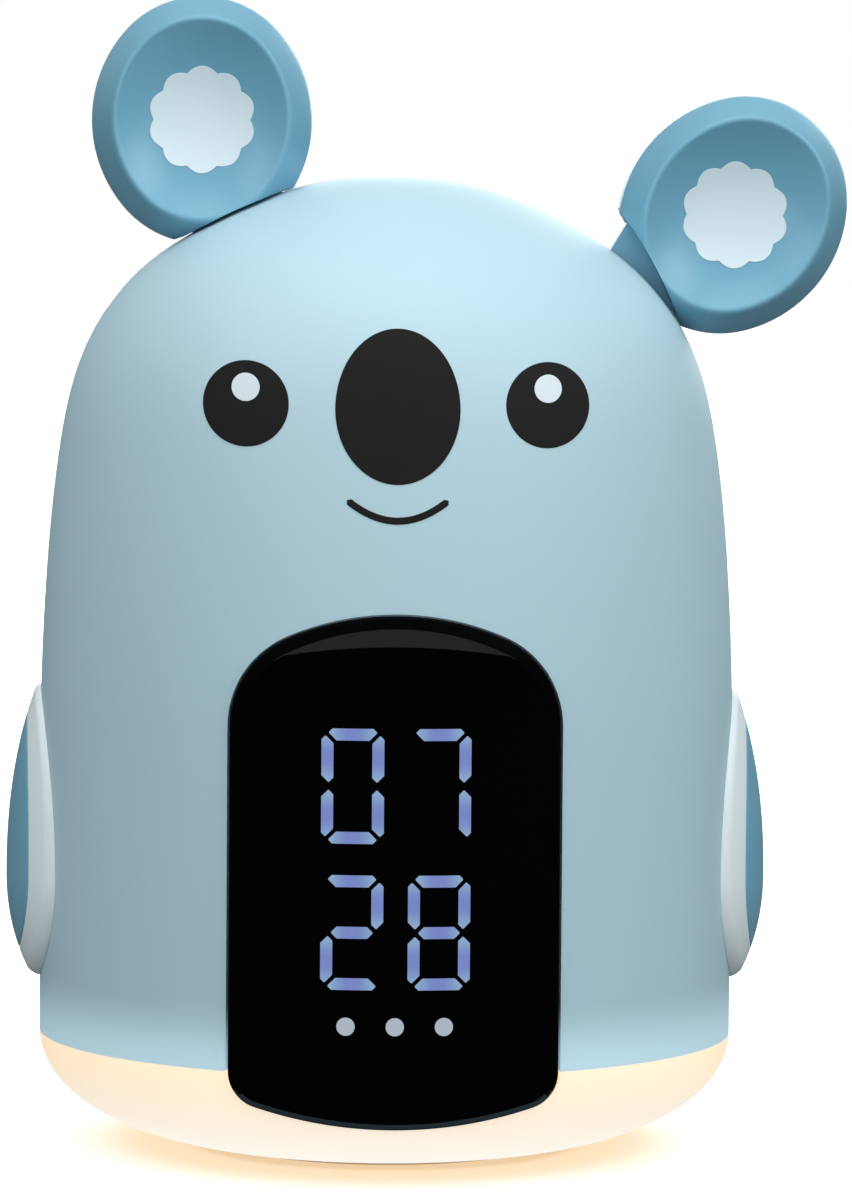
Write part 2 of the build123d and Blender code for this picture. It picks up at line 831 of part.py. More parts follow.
display_board_low = lens_post_low - lens_post_radius - display_board_margin / 2
display_board_high = lens_post_high + lens_post_radius + display_board_margin
display_board_span = display_board_high - display_board_low
display_board_middle = (display_board_high + display_board_low) / 2
with BuildPart() as display_board:
    with BuildSketch(Plane.XZ.offset(display_back - board_thickness)):
        with Locations((0, display_board_middle)):
            RectangleRounded(2 * display_board_half_width, display_board_span, 2)
        with Locations(*lens_post_points):
            Circle(screw_radius + screw_play, mode=Mode.SUBTRACT)
    extrude(amount=board_thickness - touch_gap)
display_board.part.label = "display_board"

with BuildPart() as display_lamps:
    with BuildSketch(Plane.XZ.offset(display_back)):
        for (row, x), (figure, z) in digit_places.items():
            for name in "abcdefg":
                corners = segment_points(name)
                px = sum(p[0] for p in corners) / len(corners)
                pz = sum(p[1] for p in corners) / len(corners)
                with Locations((x + px, z + pz)):
                    Rectangle(digit_stroke / 2, digit_stroke / 2)
        with Locations(*indicator_points):
            Rectangle(digit_stroke / 2, digit_stroke / 2)
    extrude(amount=segment_lamp_height)
display_lamps.part.label = "display_lamps"


def light_pipes(outline, front_radius):
    """Clear rods from the lamps to the front, cut to the curve of the lens."""
    with BuildPart() as pipes:
        with BuildSketch(Plane.XZ.offset(pipe_back)):
            add(outline)
        extrude(amount=far)
        add(barrel(front_radius), mode=Mode.INTERSECT)
    return pipes.part


with BuildPart() as hour_bars:
    add(light_pipes(bars_sketch(("hours",), True, 0), lens_radius))
hour_bars.part.label = "hour_bars"

with BuildPart() as minute_bars:
    add(light_pipes(bars_sketch(("minutes",), True, 0), lens_radius))
minute_bars.part.label = "minute_bars"

with BuildPart() as unlit_bars:
    add(light_pipes(bars_sketch(all_rows, False, 0), lens_back - touch_gap))
unlit_bars.part.label = "unlit_bars"

with BuildSketch() as indicator_dots:
    with Locations(*indicator_points):
        Circle(indicator_radius)
with BuildPart() as indicator_lights:
    add(light_pipes(indicator_dots.sketch, lens_radius))
indicator_lights.part.label = "indicator_lights"

# ---- Electronics ----

with BuildPart() as main_board:
    with BuildSketch(Plane.XY.offset(main_board_bottom)):
        RectangleRounded(2 * board_half_width, 2 * board_half_depth, 2)
        with Locations(*main_board_corners):
            Circle(screw_radius + screw_play, mode=Mode.SUBTRACT)
    extrude(amount=board_thickness)
main_board.part.label = "main_board"

with BuildPart() as processor:
    with BuildSketch(Plane.XY.offset(main_board_top)):
        with Locations((chip_inset[0] - board_half_width, board_half_depth - chip_inset[1])):
            Rectangle(chip_size, chip_size)
    extrude(amount=chip_height)
    chamfer(processor.faces().sort_by(Axis.Z)[-1].edges(), 0.2)
processor.part.label = "processor"

can_points = [(board_half_width - can_inset, y) for y in (-can_pitch / 2, can_pitch / 2)]
with BuildPart() as capacitors:
    with BuildSketch(Plane.XY.offset(main_board_top)):
        with Locations(*can_points):
            Circle(can_radius)
    extrude(amount=can_height)
    fillet(capacitors.faces().sort_by(Axis.Z)[-2:].edges(), 0.4)
capacitors.part.label = "capacitors"

# Sockets: display, buttons, ear sensors, speaker, night light
display_socket_y = 5.0 - board_half_depth
button_socket_y = board_half_depth - 10.0
sensor_socket_y = -6.0
speaker_socket_x = socket_width + 2.0
light_socket_y = board_half_depth - 3.5
sockets = {
    "display": (0, display_socket_y),
    "button": (0, button_socket_y),
    "sensor": (0, sensor_socket_y),
    "speaker": (speaker_socket_x, button_socket_y),
    "light": (0, light_socket_y),
}
with BuildPart() as board_sockets:
    with BuildSketch(Plane.XY.offset(main_board_top)):
        with Locations(*sockets.values()):
            Rectangle(socket_width, socket_depth)
    extrude(amount=socket_height)
board_sockets.part.label = "board_sockets"

socket_top = main_board_top + socket_height


def ribbon(points, radius, x, width):
    """A flat cable in an upright plane: its middle line in Y and Z, and its width along X."""
    with BuildPart() as cable:
        with BuildLine(Plane.YZ) as path:
            FilletPolyline(*points, radius=radius)
        start = Plane(origin=path.line @ 0, x_dir=(1, 0, 0), z_dir=path.line % 0)
        with BuildSketch(start):
            Rectangle(width, ribbon_thickness)
        sweep(path=path.line)
    return cable.part.moved(Location((x, 0, 0)))


# Heights at which the cables leave their boards, and the bend of the ear sensors' cable
display_cable_height = (hours_height + minutes_height) / 2
button_cable_height = button_row_low - button_row_drop
speaker_cable_height = speaker_height - speaker_radius / 2
sensor_board_front = cheek_outer + sensor_board_thickness
sensor_cable_y = -sensor_board_front - ribbon_thickness / 2
sensor_bend_high = display_cable_height + 12
sensor_bend_low = display_cable_height + 4

with BuildPart() as ribbon_cables:
    add(
        ribbon(
            (
                (-display_back + board_thickness + touch_gap, display_cable_height),
                (display_socket_y, display_cable_height),
                (display_socket_y, socket_top + touch_gap),
            ),
            ribbon_bend,
            0,
            ribbon_width,
        )
    )
    add(
        ribbon(
            (
                (button_board_front - touch_gap, button_cable_height),
                (button_socket_y, button_cable_height),
                (button_socket_y, socket_top + touch_gap),
            ),
            ribbon_bend,
            0,
            ribbon_width,
        )
    )
    add(
        ribbon(
            (
                (sensor_cable_y, pivot_height),
                (sensor_cable_y, sensor_bend_high),
                (sensor_socket_y, sensor_bend_low),
                (sensor_socket_y, socket_top + touch_gap),
            ),
            ribbon_bend,
            0,
            narrow_ribbon_width,
        )
    )
    add(
        ribbon(
            (
                (button_board_front - touch_gap, speaker_cable_height),
                (button_socket_y, speaker_cable_height),
                (button_socket_y, socket_top + touch_gap),
            ),
            narrow_ribbon_bend,
            speaker_socket_x,
            narrow_ribbon_width,
        )
    )
    add(
        ribbon(
            (
                (lead_slot_y, seam_height + touch_gap),
                (lead_slot_y, main_board_top + socket_height / 2),
                (light_socket_y + socket_depth / 2 + touch_gap, main_board_top + socket_height / 2),
            ),
            narrow_ribbon_bend,
            0,
            narrow_ribbon_width,
        )
    )
ribbon_cables.part.label = "ribbon_cables"

# ---- Rear panel, buttons, speaker, power inlet ----

button_points = [(i * button_pitch, button_row_low) for i in (-1, 0, 1)]
button_points += [(i * button_pitch / 2, button_row_high) for i in (-1, 1)]
grille_points = [(0, speaker_height)]
for ring in range(1, grille_rings + 1):
    for i in range(6 * ring):
        turn = radians(60 * i / ring)
        spread = ring * grille_pitch
        grille_points.append((spread * cos(turn), speaker_height + spread * sin(turn)))

panel_inner = casing_form(panel_thickness, 0)
speaker_front = sqrt((body_radius - panel_thickness) ** 2 - (speaker_radius + touch_gap) ** 2) - fit_gap
speaker_back = speaker_front - speaker_depth

with BuildPart() as rear_panel:
    add(back_prism(panel_outline(0)))
    add(casing_form(0, 0), mode=Mode.INTERSECT)
    add(panel_inner, mode=Mode.SUBTRACT)
    # Ring that holds the speaker
    with BuildPart(mode=Mode.PRIVATE) as speaker_cup:
        with BuildSketch(Plane.XZ.offset(-speaker_back)):
            with Locations((0, speaker_height)):
                Circle(speaker_ring_radius)
                Circle(speaker_radius + touch_gap, mode=Mode.SUBTRACT)
        extrude(amount=-far)
        add(casing_form(panel_thickness / 2, 0), mode=Mode.INTERSECT)
    add(speaker_cup.part)
    with BuildSketch(Plane.XZ):
        with Locations(*grille_points):
            Circle(grille_hole_radius)
        with Locations(*button_points):
            Circle(button_radius + button_play)
        with Locations(*panel_screw_points):
            Circle(screw_radius + fit_gap)
        with Locations((0, inlet_height)):
            RectangleRounded(
                inlet_width + 2 * touch_gap,
                inlet_thickness + 2 * touch_gap,
                inlet_thickness / 2 - touch_gap,
            )
    extrude(amount=-far, mode=Mode.SUBTRACT)
rear_panel.part.label = "rear_panel"

with BuildPart() as speaker_frame:
    with BuildSketch(Plane.XZ.offset(-speaker_front)):
        with Locations((0, speaker_height)):
            Circle(speaker_radius)
            Circle(speaker_radius - speaker_rim, mode=Mode.SUBTRACT)
    extrude(amount=speaker_flange)
    with BuildSketch(Plane.XZ.offset(-speaker_front + speaker_flange)):
        with Locations((0, speaker_height)):
            Circle(speaker_radius - speaker_flange / 2)
    with BuildSketch(Plane.XZ.offset(-speaker_back)):
        with Locations((0, speaker_height)):
            Circle(magnet_radius)
    loft()
    with BuildSketch(Plane.XZ.offset(-speaker_front + speaker_flange)):
        with Locations((0, speaker_height)):
            Circle(speaker_radius - speaker_rim)
    with BuildSketch(Plane.XZ.offset(-speaker_back - basket_floor)):
        with Locations((0, speaker_height)):
            Circle(magnet_radius - speaker_rim)
    loft(mode=Mode.SUBTRACT)
speaker_frame.part.label = "speaker_frame"

with BuildPart() as speaker_magnet:
    with BuildSketch(Plane.XZ.offset(-speaker_back)):
        with Locations((0, speaker_height)):
            Circle(magnet_radius)
    extrude(amount=magnet_height)
    chamfer(speaker_magnet.faces().sort_by(Axis.Y)[0].edges(), 0.5)
speaker_magnet.part.label = "speaker_magnet"

cone_radius = speaker_radius - speaker_rim - fit_gap
with BuildPart() as speaker_cone:
    with BuildSketch(Plane.XZ.offset(-speaker_front)):
        with Locations((0, speaker_height)):
            Circle(cone_radius)
    extrude(amount=cone_lip)
    with BuildSketch(Plane.XZ.offset(-speaker_front + cone_lip)):
        with Locations((0, speaker_height)):
            Circle(cone_radius)
    with BuildSketch(Plane.XZ.offset(-speaker_back - basket_floor - fit_gap)):
        with Locations((0, speaker_height)):
            Circle(magnet_radius / 2)
    loft()
speaker_cone.part.label = "speaker_cone"

button_board_low = button_row_low - switch_size / 2 - button_board_margin
button_board_high = button_row_high + switch_size / 2 + button_board_margin
with BuildPart() as button_board:
    with BuildSketch(Plane.XZ.offset(-button_board_front)):
        with Locations((0, (button_board_low + button_board_high) / 2)):
            RectangleRounded(2 * button_board_half_width, button_board_high - button_board_low, 2)
    extrude(amount=-board_thickness)
button_board.part.label = "button_board"

stem_end = button_board_back + switch_wall + button_travel
with BuildPart() as button_switches:
    with BuildSketch(Plane.XZ.offset(-button_board_back)):
        with Locations(*button_points):
            Rectangle(switch_size, switch_size)
    extrude(amount=-switch_height)
    with BuildSketch(Plane.XZ.offset(-button_board_back - switch_wall)):
        with Locations(*button_points):
            Circle(stem_radius + button_play)
    extrude(amount=-switch_height, mode=Mode.SUBTRACT)
button_switches.part.label = "button_switches"


def button(x, z):
    """A cap with a flange behind the panel and a stem into its switch."""
    flange_radius = button_radius + button_flange
    cap_top = sqrt(body_radius**2 - x**2) + button_proud
    outermost = abs(x) + flange_radius
    flange_top = sqrt((body_radius - panel_thickness) ** 2 - outermost**2) - fit_gap
    if z + flange_radius > shoulder_height:
        rise = (z + flange_radius - shoulder_height) / dome_rise
        flange_top -= body_radius * (1 - dome_curve[1][0]) * (rise / dome_curve[1][1]) ** 2
    with BuildPart() as cap:
        with BuildSketch(Plane.XZ.offset(-flange_top)):
            with Locations((x, z)):
                Circle(flange_radius)
        extrude(amount=button_flange_thickness)
        with BuildSketch(Plane.XZ.offset(-flange_top + button_flange_thickness)):
            with Locations((x, z)):
                Circle(button_radius)
        extrude(amount=flange_top - button_flange_thickness - cap_top)
        fillet(cap.faces().sort_by(Axis.Y)[-1].edges(), button_edge)
        with BuildSketch(Plane.XZ.offset(-stem_end)):
            with Locations((x, z)):
                Circle(stem_radius)
        extrude(amount=stem_end - flange_top)
    return cap.part


button_names = ("alarm_button", "time_button", "light_button", "minus_button", "plus_button")
button_caps = {}
for button_name, (x, z) in zip(button_names, button_points):
    button_caps[button_name] = button(x, z)
    button_caps[button_name].label = button_name

with BuildPart() as power_inlet:
    with BuildSketch(Plane.XZ.offset(-inlet_back + inlet_depth - ledge)):
        with Locations((0, inlet_height)):
            RectangleRounded(inlet_width, inlet_thickness, inlet_thickness / 2 - touch_gap)
    extrude(amount=-inlet_depth - ledge)
    with BuildSketch(Plane.XZ.offset(-inlet_back + inlet_depth - ledge - inlet_back_wall)):
        with Locations((0, inlet_height)):
            RectangleRounded(
                inlet_width - 2 * inlet_wall,
                inlet_thickness - 2 * inlet_wall,
                inlet_thickness / 2 - inlet_wall - touch_gap,
            )
            Rectangle(0.7 * inlet_width, inlet_tongue, mode=Mode.SUBTRACT)
    extrude(amount=-inlet_depth, mode=Mode.SUBTRACT)
    with BuildPart(mode=Mode.PRIVATE) as inlet_limit:
        add(casing_form(inlet_recess, 0))
    add(inlet_limit.part, mode=Mode.INTERSECT)
power_inlet.part.label = "power_inlet"

# ---- Ears ----


def oval(half_width, half_length):
    """A four-arc oval, longer upright than across."""
    end_radius = ear_end_share * half_width
    up = half_length - end_radius
    side_radius = (up**2 + half_width**2 - end_radius**2) / (2 * (half_width - end_radius))
    out = side_radius - half_width
    x = end_radius * out / hypot(out, up)
    z = up + end_radius * up / hypot(out, up)
    with BuildSketch() as outline:
        with BuildLine():
            ThreePointArc((-x, z), (0, half_length), (x, z))
            ThreePointArc((x, z), (half_width, 0), (x, -z))
            ThreePointArc((x, -z), (0, -half_length), (-x, -z))
            ThreePointArc((-x, -z), (-half_width, 0), (-x, z))
        make_face()
    return outline.sketch.moved(Location((ear_x, ear_z, 0)))


# The ear's base is hollowed to sit on the dome
with BuildPart() as ear_base_ball:
    with Locations((base_x, 0, base_z)):
        Sphere(base_radius + ear_gap)

ear_screw_angles = (-20, 90, 200)
ear_screw_points = [
    (
        ear_x + ear_screw_radius_from_middle * cos(radians(angle)),
        ear_z + ear_stretch * ear_screw_radius_from_middle * sin(radians(angle)),
    )
    for angle in ear_screw_angles
]
paddle_half = lever_thickness / 2
seat_offset = paddle_half + touch_gap
neck_mouth = 1.0  # degrees of play each side of the neck where it enters the ear
ear_head_seat = 0.6 * ear_depth
screw_hole_depth = screw_length - ear_head_seat + touch_gap
neck_reach = ear_reach - ear_half_width / 2  # how far the neck runs into the ear
ear_half_length = ear_half_width * ear_stretch


def ear_pocket(inset, boss):
    """Outline of a pocket in an ear half: clear of its base wall and of its screw bosses."""
    with BuildSketch() as outline:
        add(oval(ear_half_width - inset, ear_half_length - inset))
        with Locations((base_x, base_z)):
            Circle(base_radius + ear_gap + ear_wall, mode=Mode.SUBTRACT)
        with Locations(*ear_screw_points):
            Circle(boss, mode=Mode.SUBTRACT)
    return outline.sketch


with BuildSketch() as paddle_outline:
    add(oval(ear_half_width - paddle_inset, ear_half_length - paddle_inset))
    with Locations((base_x, base_z)):
        Circle(base_radius + ear_gap + ear_wall + fit_gap, mode=Mode.SUBTRACT)

with BuildSketch() as paddle_seat_outline:
    add(oval(ear_half_width - paddle_inset + fit_gap, ear_half_length - paddle_inset + fit_gap))
    with Locations((base_x, base_z)):
        Circle(base_radius + ear_gap + ear_wall, mode=Mode.SUBTRACT)
    with Locations((pivot_x, pivot_height)):
        Polygon(
            *sector_points(neck_from - neck_mouth, neck_to + neck_mouth, neck_reach + fit_gap),
            align=None,
        )

with BuildPart() as seated_ear_front:
    with BuildSketch(Plane.XZ):
        add(oval(ear_half_width, ear_half_length))
    extrude(amount=ear_depth)
    fillet(seated_ear_front.faces().sort_by(Axis.Y)[0].edges(), ear_bevel)
    # Dish with a flat floor and rounded sides
    with BuildSketch(Plane.XZ.offset(ear_depth)):
        add(oval(ear_half_width - ear_rim, ear_half_length - ear_rim))
    extrude(amount=-(ear_depth - ear_floor), taper=ear_dish_slope, mode=Mode.SUBTRACT)
    dish_floor = seated_ear_front.faces().filter_by(Axis.Y).sort_by(Axis.Y)[-2]
    fillet(dish_floor.edges(), ear_dish_round)
    add(ear_base_ball.part, mode=Mode.SUBTRACT)
    with BuildSketch(Plane.XZ):
        add(paddle_seat_outline.sketch)
    extrude(amount=seat_offset, mode=Mode.SUBTRACT)
    with BuildSketch(Plane.XZ.offset(seat_offset)):
        add(ear_pocket(ear_wall + 0.6, screw_head_radius))
        add(ear_pocket(ear_rim + ear_dish_round, 0.1), mode=Mode.SUBTRACT)
    extrude(amount=ear_floor - ear_wall, mode=Mode.SUBTRACT)
    with BuildSketch(Plane.XZ):
        with Locations(*ear_screw_points):
            Circle(screw_radius + screw_play)
    extrude(amount=screw_hole_depth, mode=Mode.SUBTRACT)

with BuildPart() as seated_ear_rear:
    with BuildSketch(Plane.XZ):
        add(oval(ear_half_width, ear_half_length))
    extrude(amount=-ear_depth)
    fillet(seated_ear_rear.faces().sort_by(Axis.Y)[-1].edges(), ear_back_round)
    add(ear_base_ball.part, mode=Mode.SUBTRACT)
    with BuildSketch(Plane.XZ):
        add(paddle_seat_outline.sketch)
    extrude(amount=-seat_offset, mode=Mode.SUBTRACT)
    with BuildSketch(Plane.XZ.offset(-seat_offset)):
        add(ear_pocket(ear_wall + 1.4, screw_head_radius + fit_gap + 0.8))
    extrude(amount=seat_offset + ear_wall - ear_depth, mode=Mode.SUBTRACT)
    with BuildSketch(Plane.XZ):
        with Locations(*ear_screw_points):
            Circle(screw_radius + screw_play)
    extrude(amount=-ear_head_seat, mode=Mode.SUBTRACT)
    with BuildSketch(Plane.XZ.offset(-ear_head_seat)):
        with Locations(*ear_screw_points):
            Circle(screw_head_radius + fit_gap)
    extrude(amount=-ear_depth, mode=Mode.SUBTRACT)

# The lever: hub, shutter behind the slot, neck through it and paddle inside the ear
inner_dome = [
    (shell_inner * r, shoulder_height + (dome_rise - shell_wall) * z) for r, z in dome_curve
]
shutter_radius = min(hypot(x - pivot_x, z - pivot_height) for x, z in inner_dome[2:]) - shutter_gap
magnet_bearing = (neck_from + neck_to) / 2

# Two notches in the hub that the detent spring rests in, seated and swung out
with BuildSketch() as hub_outline:
    with Locations((pivot_x, pivot_height)):
        Circle(hub_radius)
    for bearing in (180, 180 - ear_swing):
        with Locations(
            (
                pivot_x + hub_radius * sin(radians(bearing)),
                pivot_height + hub_radius * cos(radians(bearing)),
            )
        ):
            Circle(detent_bump, mode=Mode.SUBTRACT)

with BuildPart() as seated_lever:
    with BuildSketch(Plane.XZ.offset(-paddle_half)):
        with Locations((pivot_x, pivot_height)):
            Polygon(*sector_points(shutter_from, shutter_to, far), align=None)
            Circle(shutter_radius, mode=Mode.INTERSECT)
            Polygon(*sector_points(neck_from, neck_to, neck_reach), align=None)
        add(hub_outline.sketch)
        add(paddle_outline.sketch)
    extrude(amount=lever_thickness)
    with BuildSketch(Plane.XZ.offset(-hub_half_length)):
        add(hub_outline.sketch)
    extrude(amount=2 * hub_half_length)
    with BuildSketch(Plane.XZ.offset(-ear_depth)):
        with Locations((pivot_x, pivot_height)):
            Circle(pin_radius + pin_play)
        with Locations(*ear_screw_points):
            Circle(screw_radius + screw_play)
        with Locations(
            (
                pivot_x + sensor_reach * sin(radians(magnet_bearing)),
                pivot_height + sensor_reach * cos(radians(magnet_bearing)),
            )
        ):
            Circle(sensor_radius + touch_gap)
    extrude(amount=2 * ear_depth, mode=Mode.SUBTRACT)

with BuildPart() as seated_screws:
    for x, z in ear_screw_points:
        head = Plane(origin=(x, ear_head_seat, z), x_dir=(1, 0, 0), z_dir=(0, -1, 0))
        add(small_screw.moved(head.location))

with BuildPart() as seated_magnet:
    with BuildSketch(Plane.XZ.offset(-paddle_half)):
        with Locations(
            (
                pivot_x + sensor_reach * sin(radians(magnet_bearing)),
                pivot_height + sensor_reach * cos(radians(magnet_bearing)),
            )
        ):
            Circle(sensor_radius)
    extrude(amount=lever_thickness)

seated_ear = {
    "ear_front": seated_ear_front.part,
    "ear_rear": seated_ear_rear.part,
    "ear_lever": seated_lever.part,
    "ear_screws": seated_screws.part,
    "ear_magnet": seated_magnet.part,
}
pivot_axis = Axis((pivot_x, 0, pivot_height), (0, 1, 0))
ear_pieces = {}
for piece_name, piece in seated_ear.items():
    ear_pieces["right_" + piece_name] = piece.rotate(pivot_axis, ear_swing)
    ear_pieces["left_" + piece_name] = mirror(piece, about=Plane.YZ)
for piece_name, piece in ear_pieces.items():
    piece.label = piece_name

# Carrier: a channel across the dome, with flanges screwed to the dome's posts
carrier_bottom = pivot_height - cheek_drop
with BuildPart() as ear_carrier:
    with BuildSketch(Plane.YZ.offset(-pivot_x - carrier_end)):
        with BuildLine():
            Polyline(
                (cheek_inner, carrier_top),
                (cheek_outer + carrier_flange, carrier_top),
                (cheek_outer + carrier_flange, carrier_top - carrier_thickness),
                (cheek_outer, carrier_top - carrier_thickness),
                (cheek_outer, carrier_bottom),
                (-cheek_outer, carrier_bottom),
                (-cheek_outer, carrier_top - carrier_thickness),
                (-cheek_outer - carrier_flange, carrier_top - carrier_thickness),
                (-cheek_outer - carrier_flange, carrier_top),
                (-cheek_inner, carrier_top),
                (-cheek_inner, carrier_bottom + carrier_thickness),
                (cheek_inner, carrier_bottom + carrier_thickness),
                close=True,
            )
        make_face()
    extrude(amount=2 * (pivot_x + carrier_end))
    with BuildSketch(Plane.XZ.offset(-far)):
        with Locations((-pivot_x, pivot_height), (pivot_x, pivot_height)):
            Circle(pin_radius + screw_play)
    extrude(amount=2 * far, mode=Mode.SUBTRACT)
    with BuildSketch(Plane.XZ):
        with Locations(
            (-pivot_x, pivot_height + sensor_reach),
            (pivot_x, pivot_height + sensor_reach),
        ):
            Circle(sensor_radius + sensor_window)
    extrude(amount=far, mode=Mode.SUBTRACT)
    with BuildSketch(Plane.XY.offset(carrier_top)):
        with Locations(*dome_post_points):
            Circle(screw_radius + screw_play)
    extrude(amount=-carrier_thickness, mode=Mode.SUBTRACT)
ear_carrier.part.label = "ear_carrier"

with BuildPart() as pivot_pins:
    with BuildSketch(Plane.XZ.offset(-cheek_outer)):
        with Locations((-pivot_x, pivot_height), (pivot_x, pivot_height)):
            Circle(pin_radius)
    extrude(amount=2 * cheek_outer)
    with BuildSketch(Plane.XZ.offset(-cheek_outer)):
        with Locations((-pivot_x, pivot_height), (pivot_x, pivot_height)):
            Circle(pin_head_radius)
    extrude(amount=-pin_head_thickness)
pivot_pins.part.label = "pivot_pins"

# Leaf springs under the hubs, bowed up towards the notches
leaf_top = pivot_height - hub_radius - touch_gap
leaf_low = carrier_bottom + carrier_thickness
with BuildPart() as detent_springs:
    for side in (-1, 1):
        middle = side * pivot_x
        with BuildSketch(Plane.XZ.offset(-hub_half_length / 2)):
            with BuildLine():
                top_arc = ThreePointArc(
                    (middle - leaf_half_length, leaf_low),
                    (middle, leaf_top),
                    (middle + leaf_half_length, leaf_low),
                )
                low_arc = ThreePointArc(
                    (middle + leaf_half_length - leaf_foot, leaf_low),
                    (middle, leaf_top - leaf_thickness),
                    (middle - leaf_half_length + leaf_foot, leaf_low),
                )
                Line(top_arc @ 1, low_arc @ 0)
                Line(low_arc @ 1, top_arc @ 0)
            make_face()
        extrude(amount=hub_half_length)
detent_springs.part.label = "detent_springs"

sensor_board_high = carrier_top - carrier_thickness - touch_gap
sensor_board_low = carrier_bottom + sensor_window
with BuildPart() as sensor_board:
    with BuildSketch(Plane.XZ.offset(cheek_outer)):
        with Locations((0, (sensor_board_low + sensor_board_high) / 2)):
            RectangleRounded(
                2 * (pivot_x + sensor_board_end),
                sensor_board_high - sensor_board_low,
                sensor_radius,
            )
    extrude(amount=sensor_board_thickness)
sensor_board.part.label = "sensor_board"

with BuildPart() as hall_sensors:
    with BuildSketch(Plane.XZ.offset(cheek_outer)):
        with Locations(
            (-pivot_x, pivot_height + sensor_reach),
            (pivot_x, pivot_height + sensor_reach),
        ):
            Rectangle(2 * sensor_radius, 2 * sensor_radius)
    extrude(amount=-sensor_height)
hall_sensors.part.label = "hall_sensors"

# ---- Small screws, all alike ----


def screw_place(x, y, z, direction):
    across = (0, 1, 0) if direction[0] else (1, 0, 0)
    return Plane(origin=(x, y, z), x_dir=across, z_dir=direction).location


display_screw_y = -(display_back - board_thickness)
panel_screw_seat = sqrt(body_radius**2 - (panel_screw_x - screw_head_radius) ** 2)
with BuildPart() as small_screws:
    for x, y in case_boss_points:
        add(small_screw.moved(screw_place(x, y, seam_height, (0, 0, 1))))
    for x, y in dome_post_points:
        add(small_screw.moved(screw_place(x, y, carrier_top - carrier_thickness, (0, 0, 1))))
    for x, y in main_board_corners:
        add(small_screw.moved(screw_place(x, y, main_board_top, (0, 0, -1))))
    for x, z in lens_post_points:
        add(small_screw.moved(screw_place(x, display_screw_y, z, (0, -1, 0))))
    for x, z in panel_screw_points:
        add(small_screw.moved(screw_place(x, panel_screw_seat, z, (0, -1, 0))))
    add(small_screw.moved(screw_place(0, door_screw_y, foot_proud + screw_head_height, (0, 0, 1))))
small_screws.part.label = "small_screws"

# ---- Side arms ----


def egg_outline(inset):
    """The arm's outline from the side: a short half ellipse below, a long one above."""
    half, up, down = arm_half_width - inset, arm_rise - inset, arm_drop - inset
    with BuildSketch() as egg:
        with BuildLine():
            EllipticalCenterArc((0, arm_middle), half, up, 0, arc_size=180)
            EllipticalCenterArc((0, arm_middle), half, down, 180, arc_size=180)
        make_face()
    return egg.sketch


def side_prism(outline, start):
    with BuildPart() as prism:
        with BuildSketch(Plane.YZ.offset(start)):
            add(outline)
        extrude(amount=far)
    return prism.part


pad_axis_x = body_radius + pad_proud - pad_curve
with BuildPart() as pad_crown:
    with BuildSketch(Plane.XZ):
        with BuildLine():
            top = arm_middle + arm_rise
            bottom = arm_middle - arm_drop
            top_x = pad_curve - (top - arm_middle) ** 2 / (2 * pad_length_curve)
            bottom_x = pad_curve - (arm_middle - bottom) ** 2 / (2 * pad_length_curve)
            ThreePointArc(
                (pad_axis_x + bottom_x, bottom),
                (pad_axis_x + pad_curve, arm_middle),
                (pad_axis_x + top_x, top),
            )
            Polyline(
                (pad_axis_x + top_x, top),
                (pad_axis_x, top),
                (pad_axis_x, bottom),
                (pad_axis_x + bottom_x, bottom),
            )
        make_face()
    revolve(axis=Axis((pad_axis_x, 0, 0), (0, 0, 1)))

with BuildPart() as right_arm_rim:
    add(side_prism(egg_outline(0), 0))
    add(barrel(body_radius + arm_proud), mode=Mode.INTERSECT)
    add(barrel(body_radius + touch_gap), mode=Mode.SUBTRACT)
    rim_face = right_arm_rim.faces().sort_by(Axis.X)[-1]
    fillet(rim_face.edges(), arm_edge)
    with BuildPart(mode=Mode.PRIVATE) as pad_recess:
        add(side_prism(egg_outline(pad_inset - touch_gap), 0))
        add(barrel(body_radius + pad_seat), mode=Mode.SUBTRACT)
    add(pad_recess.part, mode=Mode.SUBTRACT)
right_arm_rim.part.label = "right_arm_rim"

with BuildPart() as right_arm_pad:
    add(side_prism(egg_outline(pad_inset), 0))
    add(pad_crown.part, mode=Mode.INTERSECT)
    add(barrel(body_radius + pad_seat + touch_gap), mode=Mode.SUBTRACT)
right_arm_pad.part.label = "right_arm_pad"

with BuildPart() as left_arm_rim:
    add(mirror(right_arm_rim.part, about=Plane.YZ, mode=Mode.PRIVATE))
left_arm_rim.part.label = "left_arm_rim"

with BuildPart() as left_arm_pad:
    add(mirror(right_arm_pad.part, about=Plane.YZ, mode=Mode.PRIVATE))
left_arm_pad.part.label = "left_arm_pad"

export_step(body_shell.part, "parts/body_shell.step")
export_step(light_bowl.part, "parts/light_bowl.step")
export_step(base_plate.part, "parts/base_plate.step")
export_step(foot_ring.part, "parts/foot_ring.step")
export_step(battery_door.part, "parts/battery_door.step")
export_step(coin_cell.part, "parts/coin_cell.step")
export_step(cell_holder.part, "parts/cell_holder.step")
export_step(base_screws.part, "parts/base_screws.step")
export_step(chassis.part, "parts/chassis.step")
export_step(reflector.part, "parts/reflector.step")
export_step(light_board.part, "parts/light_board.step")
export_step(light_lamps.part, "parts/light_lamps.step")
export_step(display_lens.part, "parts/display_lens.step")
export_step(display_gasket.part, "parts/display_gasket.step")
export_step(display_housing.part, "parts/display_housing.step")
export_step(display_board.part, "parts/display_board.step")
export_step(display_lamps.part, "parts/display_lamps.step")
export_step(hour_bars.part, "parts/hour_bars.step")
export_step(minute_bars.part, "parts/minute_bars.step")
export_step(unlit_bars.part, "parts/unlit_bars.step")
export_step(indicator_lights.part, "parts/indicator_lights.step")
export_step(main_board.part, "parts/main_board.step")
export_step(processor.part, "parts/processor.step")
export_step(capacitors.part, "parts/capacitors.step")
